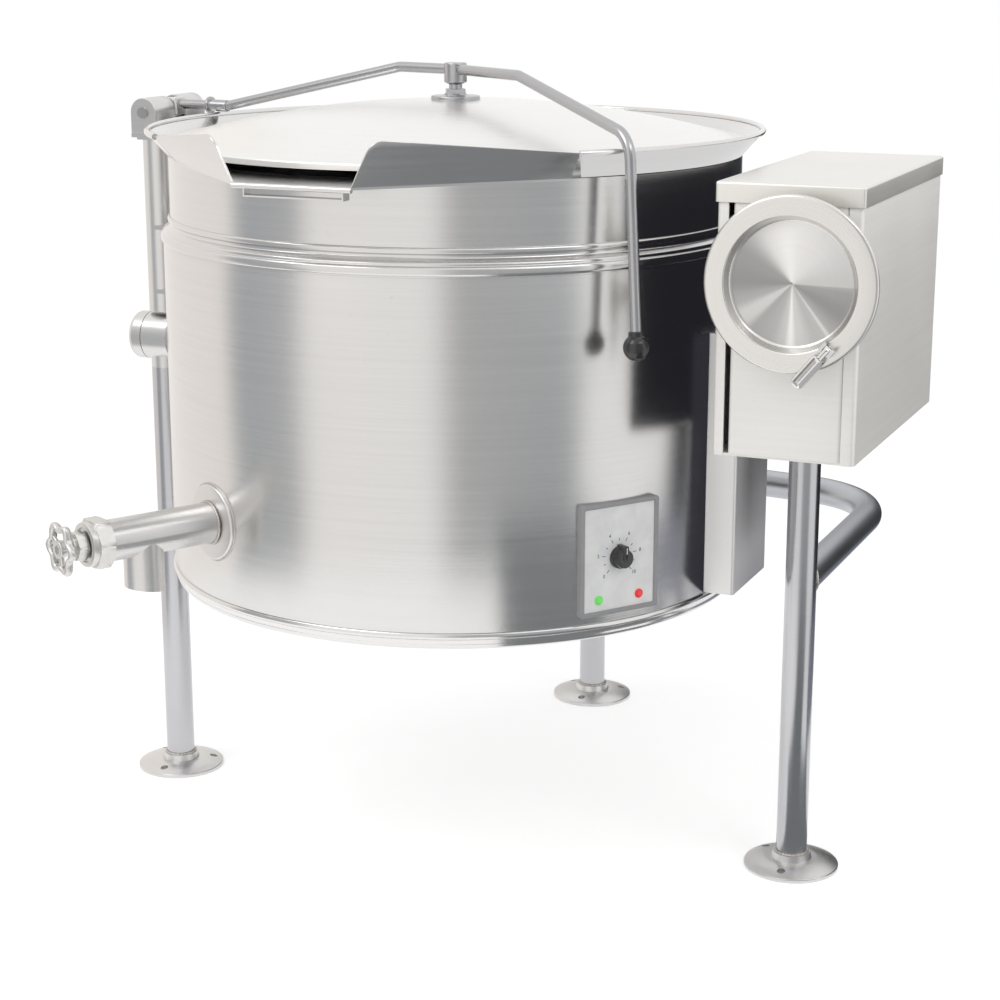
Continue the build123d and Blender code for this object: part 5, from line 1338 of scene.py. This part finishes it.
# ------------------------------------------------------------------ control panel
@dataclass
class ControlPanel:
    """Thermostat panel: bezel, the dial printed on its plate, lamps and the pointer knob."""

    angle: float = -35.1
    height: float = 0.485
    width: float = 0.119
    tall: float = 0.147
    border: float = 0.006
    stand: float = 0.005
    plate_face: float = 0.4023
    print_height: float = 0.00012
    dial_start: float = 225.0
    dial_step: float = 27.0
    lamp_across: float = 0.031
    lamp_drop: float = 0.053

    def build(self) -> None:
        """Builds the bezel, the dial, the knob and the lamps."""
        self.bezel()
        self.ticks()
        for index in range(6):
            self.number(index)
        self.knob()
        self.lamps()

    def on_plate(self, x: float, y: float, lift: float = 0.0) -> Seat:
        """Seat on the plate's face at local x and y."""
        return radial(self.angle, self.plate_face + lift, self.height).moved(x, y)

    def dial_turn(self, step: int) -> tuple[float, float]:
        """Cosine and sine of the direction of a step of the dial."""
        turn = math.radians(self.dial_start - self.dial_step * step)
        return math.cos(turn), math.sin(turn)

    def bezel(self) -> None:
        """Bezel frame, its outside running back into the shell and its front edges rounded."""
        w, h, front, back = self.width, self.tall, self.stand, -0.0082
        levels = ((0.0, 0.004, back), (0.0, 0.004, front - 0.0018), (0.0003, 0.0037, front - 0.0006),
                  (0.0015, 0.003, front), (self.border - 0.0015, 0.003, front),
                  (self.border, 0.002, front - 0.0014), (self.border, 0.002, back))
        outlines = [rounded_box(w - 2 * inset, h - 2 * inset, corner) for inset, corner, _ in levels]
        grid = stacked(outlines, [level[2] for level in levels], radial(self.angle, SHELL_R, self.height))
        Piece("panel_bezel", Body.VESSEL).add(grid, ring=True).finish(
            BEZEL, "bezel_grey", "control_bezel")

    def ticks(self) -> None:
        """Eleven printed ticks of the dial, longer at its numbers."""
        piece = Piece("dial_ticks", Body.VESSEL)
        for step in range(11):
            length = 0.0052 if step % 2 == 0 else 0.0036
            reach = 0.0215 + length / 2
            c, s = self.dial_turn(step)
            bar = rounded_box(length, 0.0009, 0.0003, steps=3) @ np.array([[c, s], [-s, c]])
            piece.add(shares_stacked(bar, [0.02, 1.0, 1.0, 0.02],
                                     [0.0, 0.0, self.print_height, self.print_height],
                                     self.on_plate(reach * c, reach * s)))
        piece.finish(BLUE, "panel_film")

    def number(self, index: int) -> None:
        """Plain dial number, twice its index, made a mesh and set flat on the plate."""
        name, reach, lift = f"dial_number_{index}", 0.0325, self.print_height / 2
        c, s = self.dial_turn(2 * index)
        curve = bpy.data.curves.new(name, "FONT")
        curve.body, curve.size, curve.extrude = str(2 * index), 0.0066, lift
        curve.align_x, curve.align_y, curve.resolution_u = "CENTER", "CENTER", 4
        source = bpy.data.objects.new(name + "_line", curve)
        mesh = bpy.data.meshes.new_from_object(source)
        bpy.data.objects.remove(source)
        flat = np.empty(len(mesh.vertices) * 3)
        mesh.vertices.foreach_get("co", flat)
        seat = self.on_plate(reach * c, reach * s, lift)
        mesh.vertices.foreach_set("co", seat.place(flat.reshape(-1, 3)).ravel())
        mesh.update()
        seated(name, mesh, Body.VESSEL, INK, "panel_film")

    def knob(self) -> None:
        """Pointer knob: a low skirt with a raised wing across it and a line on the wing."""
        seat = self.on_plate(0.0, 0.0, 0.0003)
        skirt = rounded([(0.0, 0.0), (0.0150, 0.0), (0.0142, 0.0060), (0.0128, 0.0062),
                         (0.0118, 0.0150), (0.0, 0.0150)], [0, 0.0005, 0.0012, 0.0006, 0.0016, 0])
        wing = tapered((0.0075, 0.0190), 0.0018, 0.0018, [0.0022, 0.0, 0.0, 0.0006, 0.0030],
                       [0.0, 0.0, 0.0156, 0.0166, 0.0170], seat.moved(0.0, 0.0075))
        Piece("pointer_knob", Body.KNOB).add(swing(skirt, seat, 64)).add(wing).finish(
            BLACK, "black_plastic", "thermostat_knob")
        line = eased_block((0.0012, 0.0085, 0.0002), 0.0003, 0.0001, seat.moved(0.0, 0.0112, 0.01695))
        Piece("knob_pointer_line", Body.KNOB).add(line).finish(FILM, "black_plastic")

    def lamps(self) -> None:
        """Two domed lenses."""
        lens = rounded([(0.0, -0.0015), (0.0060, -0.0015), (0.0060, 0.0014), (0.0036, 0.0030),
                        (0.0, 0.0030)], [0, 0.0003, 0.0011, 0.0022, 0])
        for name, across, look in (("green", -self.lamp_across, GREEN), ("red", self.lamp_across, RED)):
            seat = self.on_plate(across, -self.lamp_drop)
            Piece(f"{name}_lens_dome", Body.VESSEL).add(swing(lens, seat, 40)).finish(
                look, f"{name}_lens", f"{name}_lamp")


# ------------------------------------------------------------------ stand
@dataclass
class Stand:
    """Welds of the feet, legs and frame tubes, and the skin of the cable raceway."""

    tube: float = 0.0211
    corner: float = 0.004
    ease: float = 0.0006

    def build(self) -> None:
        """Builds the weld seams and the raceway's skin."""
        self.welds()
        self.raceway()

    def welds(self) -> None:
        """Weld rings where each leg meets its foot, where a frame tube lands, and on the right leg."""
        piece = Piece("stand_welds", Body.FRAME)
        for side in ("left", "right", "rear"):
            _, high, middle = box(f"{side}_foot")
            seat = Seat((middle.x, middle.y, high.z + 0.0005))
            piece.weld(ring_path(seat, self.tube + 0.0010), 0.0019)
        for side in ("left", "right"):
            seat = Seat((box(f"{side}_leg")[2].x, 0.0, box(f"{side}_frame_tube")[2].z),
                        (1.03, 0.0, 0.0), (0.0, 0.0, 1.03), (0.0, 1.0, 0.0))
            piece.weld(seat.place(saddle(self.tube, self.tube + 0.0008, 96)), 0.0019)
        _, high, middle = box("right_leg")
        top = ring_path(Seat((middle.x, 0.0, high.z - 0.0012)), self.tube + 0.0010)
        piece.weld(top, 0.0018).finish(WELD, "satin_steel")

    def raceway(self) -> None:
        """Cable raceway: a folded sheet channel against the shell with two closed ends."""
        low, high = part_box("raceway_box")
        start = math.sqrt((SHELL_R + 0.0002) ** 2 - low.y ** 2) - 0.004
        r, ease = self.corner, self.ease
        plan = rounded([(start, low.y), (high.x, low.y), (high.x, high.y), (start, high.y)], [0, r, r, 0])
        middle = plan.mean(axis=0)
        grid = shares_stacked(plan - middle, [0.02, 0.99, 1.0, 1.0, 0.99, 0.02],
                              [low.z, low.z, low.z + ease, high.z - ease, high.z, high.z],
                              Seat((*middle, 0.0)))
        Piece("folded_raceway", Body.VESSEL).add(grid).finish(RACEWAY, "satin_steel", "raceway_box")


# ------------------------------------------------------------------ studio
def gloss_sheet(name: str, grid: Array, wrap: bool = False) -> tuple[NodeTree, Node]:
    """Glowing stage sheet that only gloss sees.

    Args:
        name: name of the sheet and its material.
        grid: rows by columns by three.
        wrap: whether the last column joins the first.

    Returns:
        The material's tree and its emission node.
    """
    mesh = new_mesh(name, grid, quads(*grid.shape[:2], wrap_cols=wrap)[:, ::-1])
    sheet = new_object(name, mesh)
    for flag in ("camera", "diffuse", "shadow", "transmission", "volume_scatter"):
        setattr(sheet, f"visible_{flag}", False)
    material, tree, shader = new_material(name)
    tree.nodes.remove(shader)
    glow = node(tree, "Emission")
    feed(tree, tree.nodes["Material Output"].inputs["Surface"], glow.outputs[0])
    mesh.materials.append(material)
    return tree, glow


def sector(first: float, last: float, near: float, far: float, height: float) -> Array:
    """Level grid between two plan angles, in degrees from -Y towards +X, and two radii."""
    turn, reach = np.radians(np.linspace(first, last, 25)), np.array([near, far])[:, None]
    return around(turn, reach, height)


def screen(first: Triple, last: Triple) -> Array:
    """Upright grid between two opposite corners."""
    ends, levels = np.linspace(first, last, 25), np.array([first[2], last[2]])
    grid = np.repeat(ends[None], 2, axis=0)
    grid[..., 2] = levels[:, None]
    return grid


@dataclass
class Studio:
    """World, floor, soft boxes, sheets that gloss sees, and camera."""

    lens: float = 78.1
    camera_at: Triple = (1.2313, -2.7289, 1.2397)
    camera_turn: float = 23.13
    camera_dip: float = 14.39
    ring_radius: float = 1.75
    tall_from: float = math.radians(-140.0)
    tall_to: float = math.radians(105.0)
    ring_tones: tuple[Triple, ...] = (
        (-165, 0.70, 0.02), (-130, 0.95, 0.04), (-68, 0.96, 0.04), (-57, 0.48, -0.04),
        (-37, 0.53, -0.02), (-25, 1.0, 0.02), (13, 1.0, 0.01), (27, 0.52, -0.01), (61, 0.47, -0.03),
        (72, 1.0, 0.0), (101, 1.0, 0.0), (110, 0.03, -0.1), (170, 0.03, -0.1))

    def build(self) -> None:
        """Sets the world, floor, lights, sheets and camera."""
        scene = bpy.context.scene
        scene.view_settings.view_transform = "Standard"
        self.world(scene)
        self.floor()
        self.lights()
        self.ring()
        self.cards()
        camera = new_object("camera", bpy.data.cameras.new("camera"))
        camera.data.lens, camera.data.sensor_width, camera.data.clip_end = self.lens, 36.0, 60.0
        camera.location = self.camera_at
        camera.rotation_euler = (math.radians(90.0 - self.camera_dip), 0.0, math.radians(self.camera_turn))
        scene.camera = camera

    def world(self, scene: Scene) -> None:
        """White background for the camera, glossy and see-through rays, plainer light for the rest."""
        scene.world = bpy.data.worlds.new("studio")
        scene.world.use_nodes = True
        tree = scene.world.node_tree
        sky = tree.nodes["Background"]
        feed(tree, sky.inputs["Color"], (1.0, 1.0, 1.0, 1.0))
        feed(tree, sky.inputs["Strength"], maths(tree, "MULTIPLY_ADD", seen(tree), 0.35, 0.65))

    def floor(self) -> None:
        """Wide pale floor, nearer to white for the rays that the camera or a gloss sends to it."""
        s = 14.0
        corners = np.array([(-s, -s, 0.0), (s, -s, 0.0), (s, s, 0.0), (-s, s, 0.0)])
        mesh = new_mesh("floor", corners, np.arange(4)[None])
        material, tree, shader = new_material("floor")
        for label, value in (("Base Color", (0.86, 0.86, 0.86, 1.0)), ("Roughness", 0.9),
                             ("Specular IOR Level", 0.0)):
            feed(tree, shader.inputs[label], value)
        glow = node(tree, "Emission", {"Strength": maths(tree, "MULTIPLY", seen(tree), 0.45)})
        both = node(tree, "AddShader", {0: shader.outputs[0], 1: glow.outputs[0]})
        feed(tree, tree.nodes["Material Output"].inputs["Surface"], both.outputs[0])
        mesh.materials.append(material)
        new_object("floor", mesh)

    def lights(self) -> None:
        """Two soft boxes: a broad one over the front left and a smaller one from the right."""
        for name, power, size, place, tip, turn in (
                ("key_box", 34.0, 2.4, (-1.6, -2.2, 3.2), 40.0, -36.0),
                ("side_box", 14.0, 1.6, (2.6, -1.2, 2.6), 48.0, 66.0)):
            light = bpy.data.lights.new(name, "AREA")
            light.energy, light.size, light.shape = power, size, "SQUARE"
            lamp = new_object(name, light)
            lamp.location, lamp.rotation_euler = place, (math.radians(tip), 0.0, math.radians(turn))

    def ring(self) -> None:
        """Ring of light and dark bands round the kettle that only gloss sees.

        The tone depends on the plan angle from -Y towards +X; behind the kettle the ring is lower
        and its foot further out.
        """
        turn = np.linspace(-math.pi, math.pi, 181)[:-1]
        tall = (turn > self.tall_from) & (turn < self.tall_to)
        rows = [around(turn, self.ring_radius, np.where(tall, 1.9, 0.95)),
                around(turn, self.ring_radius, 0.002), around(turn, np.where(tall, 1.15, 1.62), 0.002)]
        tree, glow = gloss_sheet("reflector_ring", np.stack(rows), wrap=True)
        coords = node(tree, "TexCoord").outputs["Object"]
        x, y, _ = node(tree, "SeparateXYZ", {0: coords}).outputs
        angle = maths(tree, "ARCTAN2", x, maths(tree, "MULTIPLY", y, -1.0))
        ramp = node(tree, "ValToRGB", {"Fac": maths(tree, "MULTIPLY_ADD", angle, 1.0 / TAU, 0.5)})
        ramp.color_ramp.interpolation = "EASE"
        marks = ramp.color_ramp.elements
        marks[0].color = marks[-1].color = (0.30, 0.30, 0.30, 1.0)
        for place, tone, warm in self.ring_tones:
            marks.new(place / 360.0 + 0.5).color = (tone * (1 + warm), tone, tone * (1 - warm), 1.0)
        feed(tree, glow.inputs["Color"], ramp.outputs[0])

    def cards(self) -> None:
        """One-sided cards that only gloss sees: cloths on the floor, a shelf under the flare, screens."""
        neck_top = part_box("neck_band")[1].z
        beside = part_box("console_top_cover")[0].x - 0.001
        low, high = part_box("raceway_box")
        ahead = low.y - 0.001
        for name, grid, tone in (
                ("floor_cloth", sector(38.0, 74.0, 0.44, 1.65, 0.004), (0.24, 0.25, 0.26)),
                ("side_cloth", sector(74.0, 102.0, 0.44, 0.95, 0.004), (0.24, 0.25, 0.26)),
                ("back_cloth", sector(95.0, 165.0, 0.98, 1.64, 0.003), (0.27, 0.28, 0.33)),
                ("flare_shelf", sector(47.0, 118.0, 0.3912, 0.47, neck_top + 0.001), (0.84, 0.84, 0.85)),
                ("console_card", screen((beside, -0.21, 0.63), (beside, 0.21, neck_top - 0.008)),
                 (0.02, 0.02, 0.025)),
                ("raceway_card", screen((high.x, ahead, low.z), (0.36, ahead, high.z)),
                 (0.04, 0.04, 0.05))):
            tree, glow = gloss_sheet(name, grid)
            feed(tree, glow.inputs["Color"], (*tone, 1.0))
            behind = node(tree, "NewGeometry").outputs["Backfacing"]
            clear = node(tree, "BsdfTransparent").outputs[0]
            one_sided = node(tree, "MixShader", {0: behind, 1: glow.outputs[0], 2: clear})
            feed(tree, tree.nodes["Material Output"].inputs["Surface"], one_sided.outputs[0])


def main() -> None:
    """Builds the shared effects, the sub-assemblies and the studio in order."""
    logging.basicConfig(level=logging.INFO, format="%(message)s")
    make_grain("brushed_grain", False, (0.11, 0.35))
    make_grain("turned_grain", True, (0.12, 0.5))
    make_handling()
    dress_frame()
    for assembly in (Vessel(), Cover(), Console(), HandWheel(), DrawOff(), ControlPanel(), Stand()):
        assembly.build()
    Studio().build()


if __name__ == "__main__":
    main()
